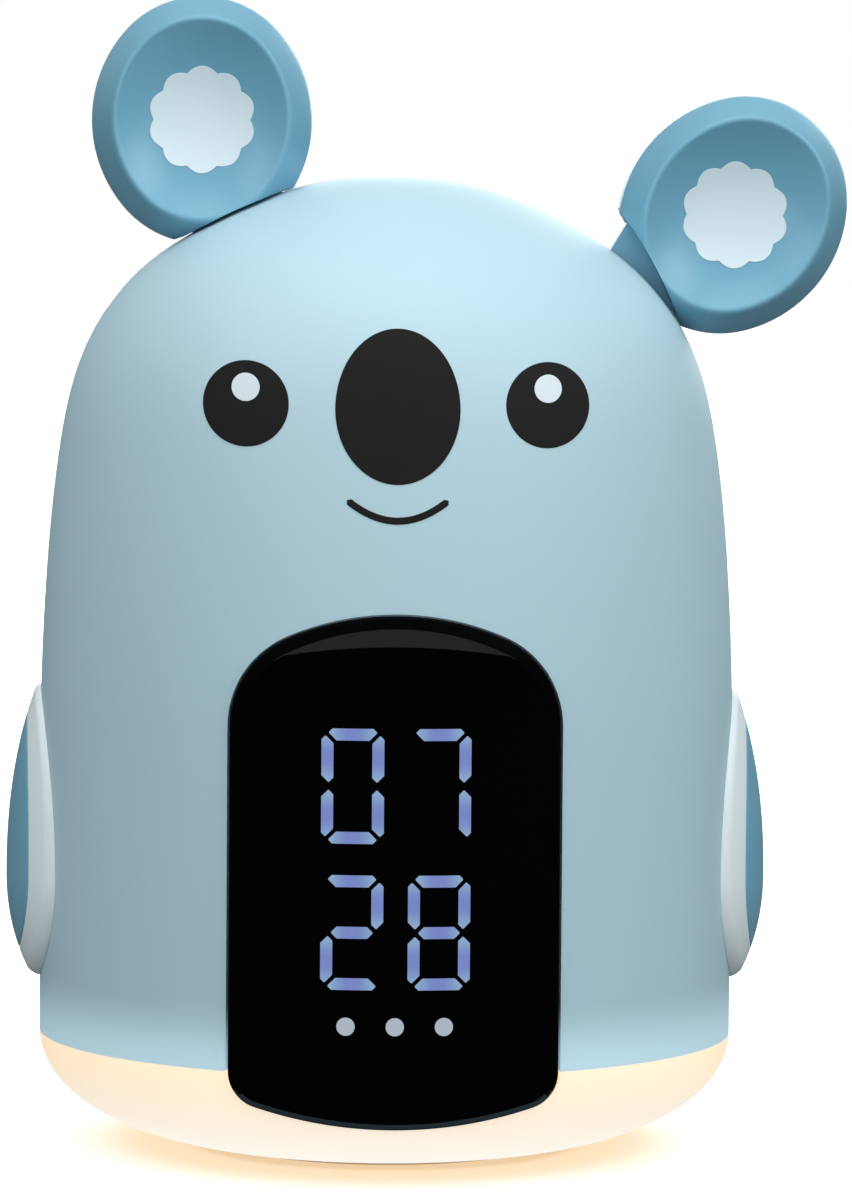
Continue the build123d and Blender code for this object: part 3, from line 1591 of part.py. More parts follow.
export_step(board_sockets.part, "parts/board_sockets.step")
export_step(ribbon_cables.part, "parts/ribbon_cables.step")
export_step(rear_panel.part, "parts/rear_panel.step")
export_step(speaker_frame.part, "parts/speaker_frame.step")
export_step(speaker_magnet.part, "parts/speaker_magnet.step")
export_step(speaker_cone.part, "parts/speaker_cone.step")
export_step(button_board.part, "parts/button_board.step")
export_step(button_switches.part, "parts/button_switches.step")
export_step(power_inlet.part, "parts/power_inlet.step")
export_step(ear_carrier.part, "parts/ear_carrier.step")
export_step(pivot_pins.part, "parts/pivot_pins.step")
export_step(detent_springs.part, "parts/detent_springs.step")
export_step(sensor_board.part, "parts/sensor_board.step")
export_step(hall_sensors.part, "parts/hall_sensors.step")
export_step(small_screws.part, "parts/small_screws.step")
export_step(right_arm_rim.part, "parts/right_arm_rim.step")
export_step(right_arm_pad.part, "parts/right_arm_pad.step")
export_step(left_arm_rim.part, "parts/left_arm_rim.step")
export_step(left_arm_pad.part, "parts/left_arm_pad.step")
for piece_name, piece in (button_caps | ear_pieces).items():
    export_step(piece, f"parts/{piece_name}.step")
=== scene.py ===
import json
import math

import bmesh
import bpy
from mathutils import Matrix, Quaternion, Vector
from mathutils.bvhtree import BVHTree


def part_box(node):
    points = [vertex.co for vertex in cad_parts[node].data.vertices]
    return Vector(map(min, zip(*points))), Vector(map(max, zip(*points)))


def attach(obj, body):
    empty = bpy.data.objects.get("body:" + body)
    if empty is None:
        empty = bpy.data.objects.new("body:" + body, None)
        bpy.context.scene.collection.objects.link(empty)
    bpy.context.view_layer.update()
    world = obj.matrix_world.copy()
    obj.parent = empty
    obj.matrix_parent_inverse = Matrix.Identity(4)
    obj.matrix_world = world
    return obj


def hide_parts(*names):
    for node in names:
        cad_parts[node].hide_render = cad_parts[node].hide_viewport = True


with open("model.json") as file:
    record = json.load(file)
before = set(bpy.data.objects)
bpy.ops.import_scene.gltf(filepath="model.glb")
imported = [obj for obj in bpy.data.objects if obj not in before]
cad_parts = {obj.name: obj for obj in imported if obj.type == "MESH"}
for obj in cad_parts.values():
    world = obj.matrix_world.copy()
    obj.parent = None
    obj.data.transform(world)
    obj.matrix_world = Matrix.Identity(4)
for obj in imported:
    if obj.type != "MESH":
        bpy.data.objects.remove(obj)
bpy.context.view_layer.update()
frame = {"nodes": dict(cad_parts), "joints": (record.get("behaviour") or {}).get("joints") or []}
nodes = frame["nodes"]
mm = 0.001
weld = 0.002 * mm  # points nearer than this become one
outside = 1.0  # metres, well clear of the part: where rays start
print("frame loaded")


def linear(hexCode):
    # sRGB hex to linear RGBA
    parts = [int(hexCode[i:i + 2], 16) / 255 for i in (1, 3, 5)]
    return tuple(p / 12.92 if p <= 0.04045 else ((p + 0.055) / 1.055) ** 2.4 for p in parts) + (1.0,)


def addNode(tree, kind, settings=None, links=None):
    # keys that are attributes set the node, all others set its sockets
    node = tree.nodes.new(kind)
    for key, value in (settings or {}).items():
        if isinstance(key, str) and hasattr(node, key):
            setattr(node, key, value)
        else:
            node.inputs[key].default_value = value
    for key, source in (links or {}).items():
        tree.links.new(source, node.inputs[key])
    return node


def newMaterial(name):
    material = bpy.data.materials.new(name)
    material.use_nodes = True
    material.node_tree.nodes.clear()
    return material, material.node_tree


def heightOf(tree):
    # height above the table, in metres
    place = addNode(tree, "ShaderNodeTexCoord").outputs["Object"]
    return addNode(tree, "ShaderNodeSeparateXYZ", links={0: place}).outputs["Z"]


def seenByCamera(tree):
    # 1 for what the camera sees, also through something clear, and 0 for light on its way to another piece
    path = addNode(tree, "ShaderNodeLightPath")
    return addNode(tree, "ShaderNodeMath", {"operation": "MAXIMUM"},
                   {0: path.outputs["Is Camera Ray"], 1: path.outputs["Is Transmission Ray"]}).outputs[0]


moulding = {"driftDetail": 3.0, "grainDetail": 2.0, "glossDrift": 0.04, "reliefMm": 0.02, "ior": 1.5}


def moulded(name, look):
    # a moulded or lacquered plastic: slow colour drift, fine grain in the surface, uneven gloss
    material, tree = newMaterial(name)
    place = addNode(tree, "ShaderNodeTexCoord").outputs["Object"]
    drift = addNode(tree, "ShaderNodeTexNoise", {"Scale": 1 / (look["driftMm"] * mm),
                    "Detail": moulding["driftDetail"]}, {"Vector": place}).outputs["Fac"]
    grain = addNode(tree, "ShaderNodeTexNoise", {"Scale": 1 / (look["grainMm"] * mm),
                    "Detail": moulding["grainDetail"]}, {"Vector": place}).outputs["Fac"]
    colour = addNode(tree, "ShaderNodeMix", {"data_type": "RGBA", 6: linear(look["colour"]),
                     7: linear(look["shade"])}, {0: drift}).outputs[2]
    gloss = addNode(tree, "ShaderNodeMapRange", {3: look["roughness"] - moulding["glossDrift"],
                    4: look["roughness"] + moulding["glossDrift"]}, {0: drift}).outputs[0]
    bump = addNode(tree, "ShaderNodeBump", {"Strength": look["grainDepth"],
                   "Distance": moulding["reliefMm"] * mm}, {"Height": grain}).outputs[0]
    shader = addNode(tree, "ShaderNodeBsdfPrincipled", {"IOR": moulding["ior"]},
                     {"Base Color": colour, "Roughness": gloss, "Normal": bump})
    for socket, value in look.get("sockets", {}).items():
        shader.inputs[socket].default_value = value
    addNode(tree, "ShaderNodeOutputMaterial", links={0: shader.outputs[0]})
    return material, tree, shader


def dress(material, *names):
    for name in names:
        node = nodes[name]
        node.data.materials.clear()
        node.data.materials.append(material)


def newPiece(name, verts, faces, material, body):
    mesh = bpy.data.meshes.new(name)
    mesh.from_pydata(verts, [], faces)
    mesh.validate()
    mesh.polygons.foreach_set("use_smooth", [True] * len(mesh.polygons))
    mesh.materials.append(material)
    piece = bpy.data.objects.new(name, mesh)
    bpy.context.scene.collection.objects.link(piece)
    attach(piece, body)
    return piece


def solidPiece(name, rings, material, body, crease):
    # closed by a fan at each end; rings run from one end to the other, and a ring of one point is a tip
    verts, faces, starts = [], [], []
    for ring in rings:
        starts.append(len(verts))
        verts += ring
    for i in range(len(rings) - 1):
        a, b, count = starts[i], starts[i + 1], max(len(rings[i]), len(rings[i + 1]))
        for k in range(count):
            n = (k + 1) % count
            if len(rings[i]) == 1:
                faces.append((a, b + k, b + n))
            elif len(rings[i + 1]) == 1:
                faces.append((a + k, b, a + n))
            else:
                faces.append((a + k, b + k, b + n, a + n))
    piece = newPiece(name, verts, faces, material, body)
    shape = bmesh.new()
    shape.from_mesh(piece.data)
    bmesh.ops.remove_doubles(shape, verts=shape.verts, dist=weld)
    bmesh.ops.recalc_face_normals(shape, faces=shape.faces)
    for edge in shape.edges:
        edge.smooth = edge.calc_face_angle(0) < math.radians(crease)
    shape.to_mesh(piece.data)
    shape.free()
    return piece


# Soft-touch lacquer on ABS: a matte, slightly velvety pale blue, with a painted glow along its foot
case = {
    "colour": "#bedae5", "shade": "#b9d6e2", "driftMm": 40, "grainMm": 0.5, "grainDepth": 0.10,
    "roughness": 0.52, "paintedGlowFromMm": 17, "paintedGlowToMm": 27, "glow": "#9db6bf", "paintedGlowStrength": 0.50,
}


def lacqueredAbsWithPaintedGlow():
    material, tree, shader = moulded("softTouchLacquerPaintedGlow", case)
    # painted glow: an emission brightens the foot of the casing, standing in for the night light's light on
    # it
    paintedGlowFade = addNode(tree, "ShaderNodeMapRange", {"interpolation_type": "SMOOTHSTEP",
                   1: case["paintedGlowFromMm"] * mm, 2: case["paintedGlowToMm"] * mm, 3: case["paintedGlowStrength"], 4: 0.0},
                   {0: heightOf(tree)}).outputs[0]
    shader.inputs["Emission Color"].default_value = linear(case["glow"])
    tree.links.new(paintedGlowFade, shader.inputs["Emission Strength"])
    return material


# Frosted polycarbonate lit from inside: warm white, warmest under the seam, whitest at the foot
bowl = {
    "colour": "#ddd6cb", "shade": "#d8d0c4", "driftMm": 25,
    "grainMm": 0.6, "grainDepth": 0.05, "roughness": 0.45,
    "glowTop": "#dcbc96", "glowFoot": "#f0ede3", "topMm": 17, "footMm": 3, "strength": 1.0,
}


def frostedPolycarbonate():
    material, tree, shader = moulded("frostedPolycarbonate", bowl)
    up = addNode(tree, "ShaderNodeMapRange", {1: bowl["footMm"] * mm, 2: bowl["topMm"] * mm},
                 {0: heightOf(tree)}).outputs[0]
    glow = addNode(tree, "ShaderNodeMix", {"data_type": "RGBA", 6: linear(bowl["glowFoot"]),
                   7: linear(bowl["glowTop"])}, {0: up}).outputs[2]
    tree.links.new(glow, shader.inputs["Emission Color"])
    shader.inputs["Emission Strength"].default_value = bowl["strength"]
    return material


# Satin moulded ABS of the ears and arm pads: mid blue with a soft highlight
ear = {
    "colour": "#77afc7", "shade": "#72aac3", "driftMm": 22,
    "grainMm": 0.45, "grainDepth": 0.08, "roughness": 0.33,
}
# Satin ABS of the arms' rims: near-white blue
rim = {
    "colour": "#f3fafc", "shade": "#edf5f8", "driftMm": 22,
    "grainMm": 0.45, "grainDepth": 0.08, "roughness": 0.42,
}
# Spark-eroded ABS of the rear panel: a matte texture that shows as fine speckle
panel = {
    "colour": "#8fb4c4", "shade": "#87adbe", "driftMm": 14,
    "grainMm": 0.8, "grainDepth": 0.35, "roughness": 0.58,
}
# Plain moulded ABS of the base: warm light grey with a coarser texture
base = {
    "colour": "#d6d5d0", "shade": "#cccbc6", "driftMm": 12,
    "grainMm": 0.8, "grainDepth": 0.30, "roughness": 0.6,
}
# Moulded silicone of the buttons: soft white, silky
button = {
    "colour": "#e9edee", "shade": "#e1e6e8", "driftMm": 4,
    "grainMm": 0.4, "grainDepth": 0.12, "roughness": 0.5,
}
# Milky thermoplastic rubber of the foot: dull, with a painted glow that stands in for the bowl's light and
# lifts the shade under the bowl
foot = {
    "colour": "#b9b9b5", "shade": "#a9a9a5", "driftMm": 6,
    "grainMm": 0.5, "grainDepth": 0.4, "roughness": 0.85,
    "sockets": {"Sheen Weight": 0.2, "Emission Color": linear("#e8c08c"), "Emission Strength": 0.45},
}
# Glass-filled nylon of housings and cans: near-black, slightly cloudy
nylon = {
    "colour": "#1d1e21", "shade": "#26272b", "driftMm": 5,
    "grainMm": 0.3, "grainDepth": 0.3, "roughness": 0.55,
}
# Glossy white PBT of sockets, lamps and the reflector
whitePbt = {
    "colour": "#ecebe4", "shade": "#e2e1da", "driftMm": 5,
    "grainMm": 0.3, "grainDepth": 0.1, "roughness": 0.38,
}
# PVC ribbon: pale grey strip with a dull shine
ribbon = {
    "colour": "#cfd3d6", "shade": "#bcc2c7", "driftMm": 3,
    "grainMm": 0.4, "grainDepth": 0.2, "roughness": 0.5,
}
# Unlit acrylic pipes: clear plastic over a dark board, so a dim grey
unlit = {
    "colour": "#2b2f35", "shade": "#23272c", "driftMm": 3,
    "grainMm": 0.3, "grainDepth": 0.05, "roughness": 0.15,
}

dress(lacqueredAbsWithPaintedGlow(), "body_shell")
dress(frostedPolycarbonate(), "light_bowl")
earSatin = moulded("satinMouldedAbs", ear)[0]
rimSatin = moulded("paleSatinAbs", rim)[0]
for side in ("left", "right"):
    dress(earSatin, side + "_ear_front", side + "_ear_rear", side + "_ear_lever", side + "_arm_pad")
    dress(rimSatin, side + "_arm_rim")
dress(moulded("sparkErodedAbs", panel)[0], "rear_panel")
dress(moulded("greyMouldedAbs", base)[0], "base_plate", "battery_door", "chassis", "cell_holder")
dress(moulded("whiteSilicone", button)[0],
      "alarm_button", "time_button", "light_button", "minus_button", "plus_button")
dress(moulded("softFootRubberPaintedGlow", foot)[0], "foot_ring")
dress(moulded("blackNylon", nylon)[0], "display_gasket", "display_housing", "processor", "capacitors",
      "speaker_magnet", "speaker_cone", "button_switches", "hall_sensors", "ear_carrier")
dress(moulded("whitePbt", whitePbt)[0], "reflector", "board_sockets", "light_lamps", "display_lamps")
dress(moulded("ribbonPvc", ribbon)[0], "ribbon_cables")
dress(moulded("unlitAcrylic", unlit)[0], "unlit_bars")

# Nickel-plated steel of screws, pins and the inlet: bright, finely turned
steel = {"colour": "#c9c8c4", "turningMm": 0.25, "roughness": 0.28, "glossDrift": 0.08}
# Solder mask on glass fibre: deep green with a faint weave
mask = {"colour": "#1f5b3a", "weave": "#2b6b47", "weaveMm": 0.8, "roughness": 0.35}


def platedSteel():
    material, tree = newMaterial("nickelPlatedSteel")
    place = addNode(tree, "ShaderNodeTexCoord").outputs["Object"]
    turning = addNode(tree, "ShaderNodeTexNoise", {"Scale": 1 / (steel["turningMm"] * mm)},
                      {"Vector": place}).outputs["Fac"]
    gloss = addNode(tree, "ShaderNodeMapRange", {3: steel["roughness"] - steel["glossDrift"],
                    4: steel["roughness"] + steel["glossDrift"]}, {0: turning}).outputs[0]
    shader = addNode(tree, "ShaderNodeBsdfPrincipled", {"Metallic": 1.0,
                     "Base Color": linear(steel["colour"])}, {"Roughness": gloss})
    addNode(tree, "ShaderNodeOutputMaterial", links={0: shader.outputs[0]})
    return material


def solderMask():
    material, tree = newMaterial("solderMaskBoard")
    place = addNode(tree, "ShaderNodeTexCoord").outputs["Object"]
    weave = addNode(tree, "ShaderNodeTexChecker", {"Scale": 1 / (mask["weaveMm"] * mm),
                    "Color1": linear(mask["colour"]), "Color2": linear(mask["weave"])},
                    {"Vector": place}).outputs["Color"]
    shader = addNode(tree, "ShaderNodeBsdfPrincipled", {"Roughness": mask["roughness"]},
                     {"Base Color": weave})
    addNode(tree, "ShaderNodeOutputMaterial", links={0: shader.outputs[0]})
    return material


dress(platedSteel(), "base_screws", "small_screws", "coin_cell", "pivot_pins", "detent_springs",
      "power_inlet", "left_ear_screws", "right_ear_screws", "speaker_frame",
      "left_ear_magnet", "right_ear_magnet")
dress(solderMask(), "light_board", "display_board", "main_board", "button_board", "sensor_board")
print("casings and inner pieces dressed")


# Diffusing acrylic over white-blue lamps: each bar is bluer at its lamp and paler at its ends
bars = {
    "core": "#7f90d0", "end": "#93b4d8", "coreMm": 0.6, "endMm": 3.4, "strength": 0.85,
    "body": "#0b0d12", "roughness": 0.3, "specular": 0.1,
    "digitGapMm": 3.48, "uprightFromMm": 2.75,
}


def litAcrylic():
    material, tree = newMaterial("litAcrylic")
    hours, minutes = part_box("hour_bars"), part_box("minute_bars")
    rowMiddle = (hours[0].z + minutes[1].z) / 2  # the rows lie symmetrically about this height
    rowHalf = (hours[1].z - hours[0].z) / 2
    rowPlace = (hours[0].z + hours[1].z) / 2 - rowMiddle
    columnPlace = (hours[1].x - hours[0].x + bars["digitGapMm"] * mm) / 4
    place = addNode(tree, "ShaderNodeSeparateXYZ",
                    links={0: addNode(tree, "ShaderNodeTexCoord").outputs["Object"]})

    def fold(source, middle):
        # distance from a middle
        moved = addNode(tree, "ShaderNodeMath", {"operation": "SUBTRACT", 1: middle},
                        {0: source}).outputs[0]
        return addNode(tree, "ShaderNodeMath", {"operation": "ABSOLUTE"}, {0: moved}).outputs[0]

    across = fold(fold(place.outputs["X"], 0.0), columnPlace)
    up = fold(fold(fold(place.outputs["Z"], rowMiddle), rowPlace), rowHalf / 2)
    # a bar further across than this is an upright one
    upright = addNode(tree, "ShaderNodeMath", {"operation": "GREATER_THAN",
                      1: bars["uprightFromMm"] * mm}, {0: across}).outputs[0]
    along = addNode(tree, "ShaderNodeMix", {"data_type": "FLOAT"},
                    {0: upright, 2: across, 3: up}).outputs[0]
    share = addNode(tree, "ShaderNodeMapRange", {"interpolation_type": "SMOOTHSTEP",
                    1: bars["coreMm"] * mm, 2: bars["endMm"] * mm}, {0: along}).outputs[0]
    colour = addNode(tree, "ShaderNodeMix", {"data_type": "RGBA", 6: linear(bars["core"]),
                     7: linear(bars["end"])}, {0: share}).outputs[2]
    shader = addNode(tree, "ShaderNodeBsdfPrincipled", {"Base Color": linear(bars["body"]),
                     "Roughness": bars["roughness"], "Specular IOR Level": bars["specular"],
                     "Emission Strength": bars["strength"]}, {"Emission Color": colour})
    addNode(tree, "ShaderNodeOutputMaterial", links={0: shader.outputs[0]})
    return material


# Indicator lights: the same acrylic over white lamps, so a pale grey-white
indicator = {
    "colour": "#1a1c20", "shade": "#22252a", "driftMm": 2,
    "grainMm": 0.3, "grainDepth": 0.05, "roughness": 0.3,
    "sockets": {"Emission Color": linear("#b9c3d0"), "Emission Strength": 0.8},
}

dress(litAcrylic(), "hour_bars", "minute_bars")
dress(moulded("whiteLitAcrylic", indicator)[0], "indicator_lights")


# Smoked acrylic, polished: black, with a crowned top that catches a soft light. Its chamfer is ground
# matte and reflects nothing, and along the foot the bare edge is painted a little lighter, a painted
# reflection of the lit bowl below
lens = {
    "colour": "#010102", "roughness": 0.03, "specular": 0.064,
    "paintedReflectionColour": "#2b3940", "edgeRoughness": 0.25, "edgeSpecular": 0.2,
    "groundRoughness": 0.5, "groundSpecular": 0.02, "borderTurn": 10.0, "footTilt": 0.15,
    "wipeMm": 100 / 9, "wipeDetail": 2.0, "glossDrift": 0.03, "ior": 1.49,
    "edgeMm": 0.4, "chamferTopMm": 1.6, "chamferFootMm": 0.85, "chamferTurn": 14.0,
    "facetTurn": 7.0, "facetTopMm": 4.3, "facetArcMm": 90.0, "reachMm": 4.9, "sinkMm": 0.07, "deepMm": 2.4,
    "topArcMm": 37.5, "bottomArcMm": 75.0, "topCornerMm": 14.1, "bottomCornerMm": 5.0,
    "lowCornerSteps": 12, "sideSteps": 30, "topCornerSteps": 24, "archSteps": 20, "footSteps": 40,
    "edgeSteps": 9, "chamferSteps": 5, "crownSteps": 18, "innerSteps": 16, "crease": 75,
}


def polishedAcrylic(name, colour, roughness, specular):
    material, tree = newMaterial(name)
    place = addNode(tree, "ShaderNodeTexCoord").outputs["Object"]
    wipes = addNode(tree, "ShaderNodeTexNoise", {"Scale": 1 / (lens["wipeMm"] * mm),
                    "Detail": lens["wipeDetail"]}, {"Vector": place}).outputs["Fac"]
    gloss = addNode(tree, "ShaderNodeMapRange", {3: roughness, 4: roughness + lens["glossDrift"]},
                    {0: wipes}).outputs[0]
    shader = addNode(tree, "ShaderNodeBsdfPrincipled", {"Base Color": linear(colour), "IOR": lens["ior"],
                     "Specular IOR Level": specular}, {"Roughness": gloss})
    addNode(tree, "ShaderNodeOutputMaterial", links={0: shader.outputs[0]})
    return material


def arcPoints(middle, radius, fromTurn, toTurn, count):
    turns = [math.radians(fromTurn + (toTurn - fromTurn) * i / count) for i in range(count + 1)]
    return [(middle[0] + radius * math.cos(t), middle[1] + radius * math.sin(t)) for t in turns]


def roundedCorner(upright, arcMiddle, arcRadius, corner, up):
    # middle of the corner that touches the upright side and the arched end from inside
    x = upright - corner
    reach = arcRadius - corner
    return x, arcMiddle + up * math.sqrt(reach ** 2 - x ** 2)


def lensOutline(low, high):
    # arched top and bottom, upright sides, rounded corners; anticlockwise from the lower right corner
    half = high.x
    topArc, bottomArc = lens["topArcMm"] * mm, lens["bottomArcMm"] * mm
    topCorner, bottomCorner = lens["topCornerMm"] * mm, lens["bottomCornerMm"] * mm
    topMiddle, bottomMiddle = high.z - topArc, low.z + bottomArc
    topX, topZ = roundedCorner(half, topMiddle, topArc, topCorner, 1)
    lowX, lowZ = roundedCorner(half, bottomMiddle, bottomArc, bottomCorner, -1)
    topTurn = math.degrees(math.atan2(topZ - topMiddle, topX))
    lowTurn = math.degrees(math.atan2(lowZ - bottomMiddle, lowX))
    steps = lens["sideSteps"]
    right = arcPoints((lowX, lowZ), bottomCorner, lowTurn, 0, lens["lowCornerSteps"])
    right += [(half, lowZ + (topZ - lowZ) * i / steps) for i in range(1, steps)]
    right += arcPoints((topX, topZ), topCorner, 0, topTurn, lens["topCornerSteps"])
    right += arcPoints((0, topMiddle), topArc, topTurn, 90, lens["archSteps"])[1:]
    left = [(-x, z) for x, z in reversed(right[:-1])]
    foot = arcPoints((0, bottomMiddle), bottomArc, 180 - lowTurn, 360 + lowTurn, lens["footSteps"])
    return right + left + foot[1:-1]


def lensCover():
    low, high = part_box("display_lens")
    radius = -low.y - lens["sinkMm"] * mm
    outline = lensOutline(low, high)
    count = len(outline)
    middleZ = (low.z + high.z) / 2
    edge, reach, facetArc = lens["edgeMm"] * mm, lens["reachMm"] * mm, lens["facetArcMm"] * mm
    chamfers = [lens["chamferFootMm" if z < middleZ else "chamferTopMm"] * mm for x, z in outline]
    slope, steep = [math.tan(math.radians(lens[turn])) for turn in ("facetTurn", "chamferTurn")]

    def facet(x, z):
        # the crown: a flat slope above a shallow arch
        arch = high.z - lens["facetTopMm"] * mm - facetArc + math.sqrt(facetArc ** 2 - x * x)
        return slope * max(z - arch, 0)

    def inward(k, inset):
        (ax, az), (bx, bz) = outline[k - 1], outline[(k + 1) % count]
        normal = Vector((az - bz, bx - ax)).normalized()
        return outline[k][0] + normal.x * inset, outline[k][1] + normal.y * inset

    # each ring: share of the way over the rounded edge, then of the chamfer, then of the crown
    edgeSteps, chamferSteps, crownSteps = lens["edgeSteps"], lens["chamferSteps"], lens["crownSteps"]
    stages = [(i / edgeSteps, 0, 0) for i in range(edgeSteps + 1)]
    stages += [(1, i / chamferSteps, 0) for i in range(1, chamferSteps + 1)]
    stages += [(1, 1, i / crownSteps) for i in range(1, crownSteps + 1)]
    rings = []
    for i, (over, across, on) in enumerate([stages[0]] + stages):
        back = lens["deepMm"] * mm if i == 0 else 0.0
        ring = []
        for k, chamfer in enumerate(chamfers):
            inset = edge * (1 - math.cos(math.pi / 2 * over))
            inset += (chamfer - edge) * across + (reach - chamfer) * on
            rounding = edge - math.sqrt(edge ** 2 - max(edge - inset, 0) ** 2)
            bevel = steep * max(chamfer - inset, 0)
            x, z = inward(k, inset)
            ring.append((x, z, rounding + bevel + facet(x, z) + back))
        rings.append(ring)
    inner = rings[-1]
    for i in range(1, lens["innerSteps"]):
        share = 1 - i / lens["innerSteps"]
        places = [(x * share, middleZ + (z - middleZ) * share) for x, z, _ in inner]
        rings.append([(x, z, facet(x, z)) for x, z in places])
    curved = [[(x, -math.sqrt((radius - depth) ** 2 - x * x), z) for x, z, depth in ring] for ring in rings]
    smoked = polishedAcrylic("smokedAcrylic", lens["colour"], lens["roughness"], lens["specular"])
    paintedReflectionEdge = polishedAcrylic("acrylicEdgePaintedReflection", lens["paintedReflectionColour"], lens["edgeRoughness"], lens["edgeSpecular"])
    ground = polishedAcrylic("groundAcrylic", lens["colour"], lens["groundRoughness"], lens["groundSpecular"])
    piece = solidPiece("lensCover", curved + [[(0, -radius, middleZ)]], smoked, "case", lens["crease"])
    piece.data.materials.append(paintedReflectionEdge)
    piece.data.materials.append(ground)
    lowest = low.z + lens["bottomCornerMm"] * mm
    leastCos = math.cos(math.radians(lens["borderTurn"]))
    for facing in piece.data.polygons:
        outwards = Vector((facing.center.x, facing.center.y, 0)).normalized()
        if facing.normal.dot(outwards) < leastCos:
            # faces along the foot get the painted reflection, the rest of the border the ground chamfer
            onFoot = facing.center.z < lowest and facing.normal.z < -lens["footTilt"]
            facing.material_index = 1 if onFoot else 2
    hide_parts("display_lens")


lensCover()
print("display made")


# The front halves of the ears: a sloping outer face, a fine crest and a smooth bowl
earFront = {
    "stretch": 1.122, "endShare": 0.927, "sideMm": 1.3, "crestMm": 3.3, "outerPower": 0.85, "bowlMm": 4.7,
    "bowlPower": 2.3, "roundMm": 1.7, "around": 240, "crease": 40, "probes": 24, "halvings": 14,
    # the ball that the dome follows under the seated ear, and the wedge of air between them
    "ballXMm": 3.65, "ballZMm": 82.06, "ballRadiusMm": 63.84, "gapFrontMm": 0.5, "gapBackMm": 0.04,
    "gapSwungMm": 0.3, "swingShares": (0.5, 0.75, 1.0), "domeFromMm": 90,
    # where the rings lie: shares of the way over the bowl, of the crest's width left, of the side's depth
    "bowlSteps": 16, "bowlEnd": (0.9, 0.925, 0.95, 0.965, 0.98, 0.99, 1.0),
    "crestLeft": (0.97, 0.94, 0.9, 0.84, 0.76, 0.64, 0.5, 0.35, 0.2, 0.1, 0.04, 0.0),
    "sideLeft": (0.75, 0.5, 0.25, 0.0),
}


def treeOf(piece):
    bpy.context.view_layer.update()
    return BVHTree.FromObject(piece, bpy.context.evaluated_depsgraph_get())


def ovalReach(half, turn):
    # from the middle of a four-arc oval to its outline
    along, up = abs(math.cos(turn)), abs(math.sin(turn))
    endRadius = earFront["endShare"] * half
    rise = half * earFront["stretch"] - endRadius
    sideRadius = (rise ** 2 + half ** 2 - endRadius ** 2) / (2 * (half - endRadius))
    out = sideRadius - half
    toEnd = rise * up + math.sqrt(endRadius ** 2 - (rise * along) ** 2)
    if toEnd * along <= endRadius * out / math.hypot(out, rise):
        return toEnd
    return math.sqrt(sideRadius ** 2 - (out * up) ** 2) - out * along


def earDepth(reach, r, deep):
    # how far the front surface stands forward, r from the middle: the lower of the outer face and the bowl,
    # blended where they meet, which takes a quarter of the blend off the crest
    side, crest, bowlDeep = earFront["sideMm"] * mm, earFront["crestMm"] * mm, earFront["bowlMm"] * mm
    soft = earFront["roundMm"] * mm
    top = deep + soft / 4
    outer = side + (top - side) * (max(reach - r, 0) / crest) ** earFront["outerPower"]
    bowl = top - bowlDeep * (1 - (r / (reach - crest)) ** earFront["bowlPower"])
    share = min(max(0.5 + 0.5 * (bowl - outer) / soft, 0), 1)
    return bowl * (1 - share) + outer * share - soft * share * (1 - share)


def domeProfile():
    # the dome's radius at each millimetre of height, from its front
    casing = treeOf(nodes["body_shell"])
    top = int(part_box("body_shell")[1].z / mm)
    heights = range(earFront["domeFromMm"], top)
    return [-casing.ray_cast(Vector((0, -outside, z * mm)), Vector((0, 1, 0)))[0].y for z in heights]


def swungClear(point, profile, pin, swings):
    # whether a point of the seated ear keeps off the dome on its way out
    for swing in swings:
        place = pin + swing @ (point - pin)
        step = place.z / mm - earFront["domeFromMm"]
        if 0 <= step < len(profile) - 1:
            low = int(step)
            radius = profile[low] + (profile[low + 1] - profile[low]) * (step - low)
            if math.hypot(place.x, place.y) < radius + earFront["gapSwungMm"] * mm:
                return False
    return True


def clearReach(place, reach, deep, offDome):
    # the longest way out that keeps off the ball, by a gap that is wider in front, and off the dome
    ball = Vector((earFront["ballXMm"] * mm, 0, earFront["ballZMm"] * mm))

    def clear(r):
        point = place(r)
        gap = earFront["gapBackMm"] + (earFront["gapFrontMm"] - earFront["gapBackMm"]) * -point.y / deep
        return (point - ball).length >= (earFront["ballRadiusMm"] + gap) * mm and offDome(point)

    steps = earFront["probes"]
    for i in range(1, steps + 1):
        if not clear(reach * i / steps):
            near, far = reach * (i - 1) / steps, reach * i / steps
            for _ in range(earFront["halvings"]):
                middle = (near + far) / 2
                near, far = (middle, far) if clear(middle) else (near, middle)
            return near
    return reach


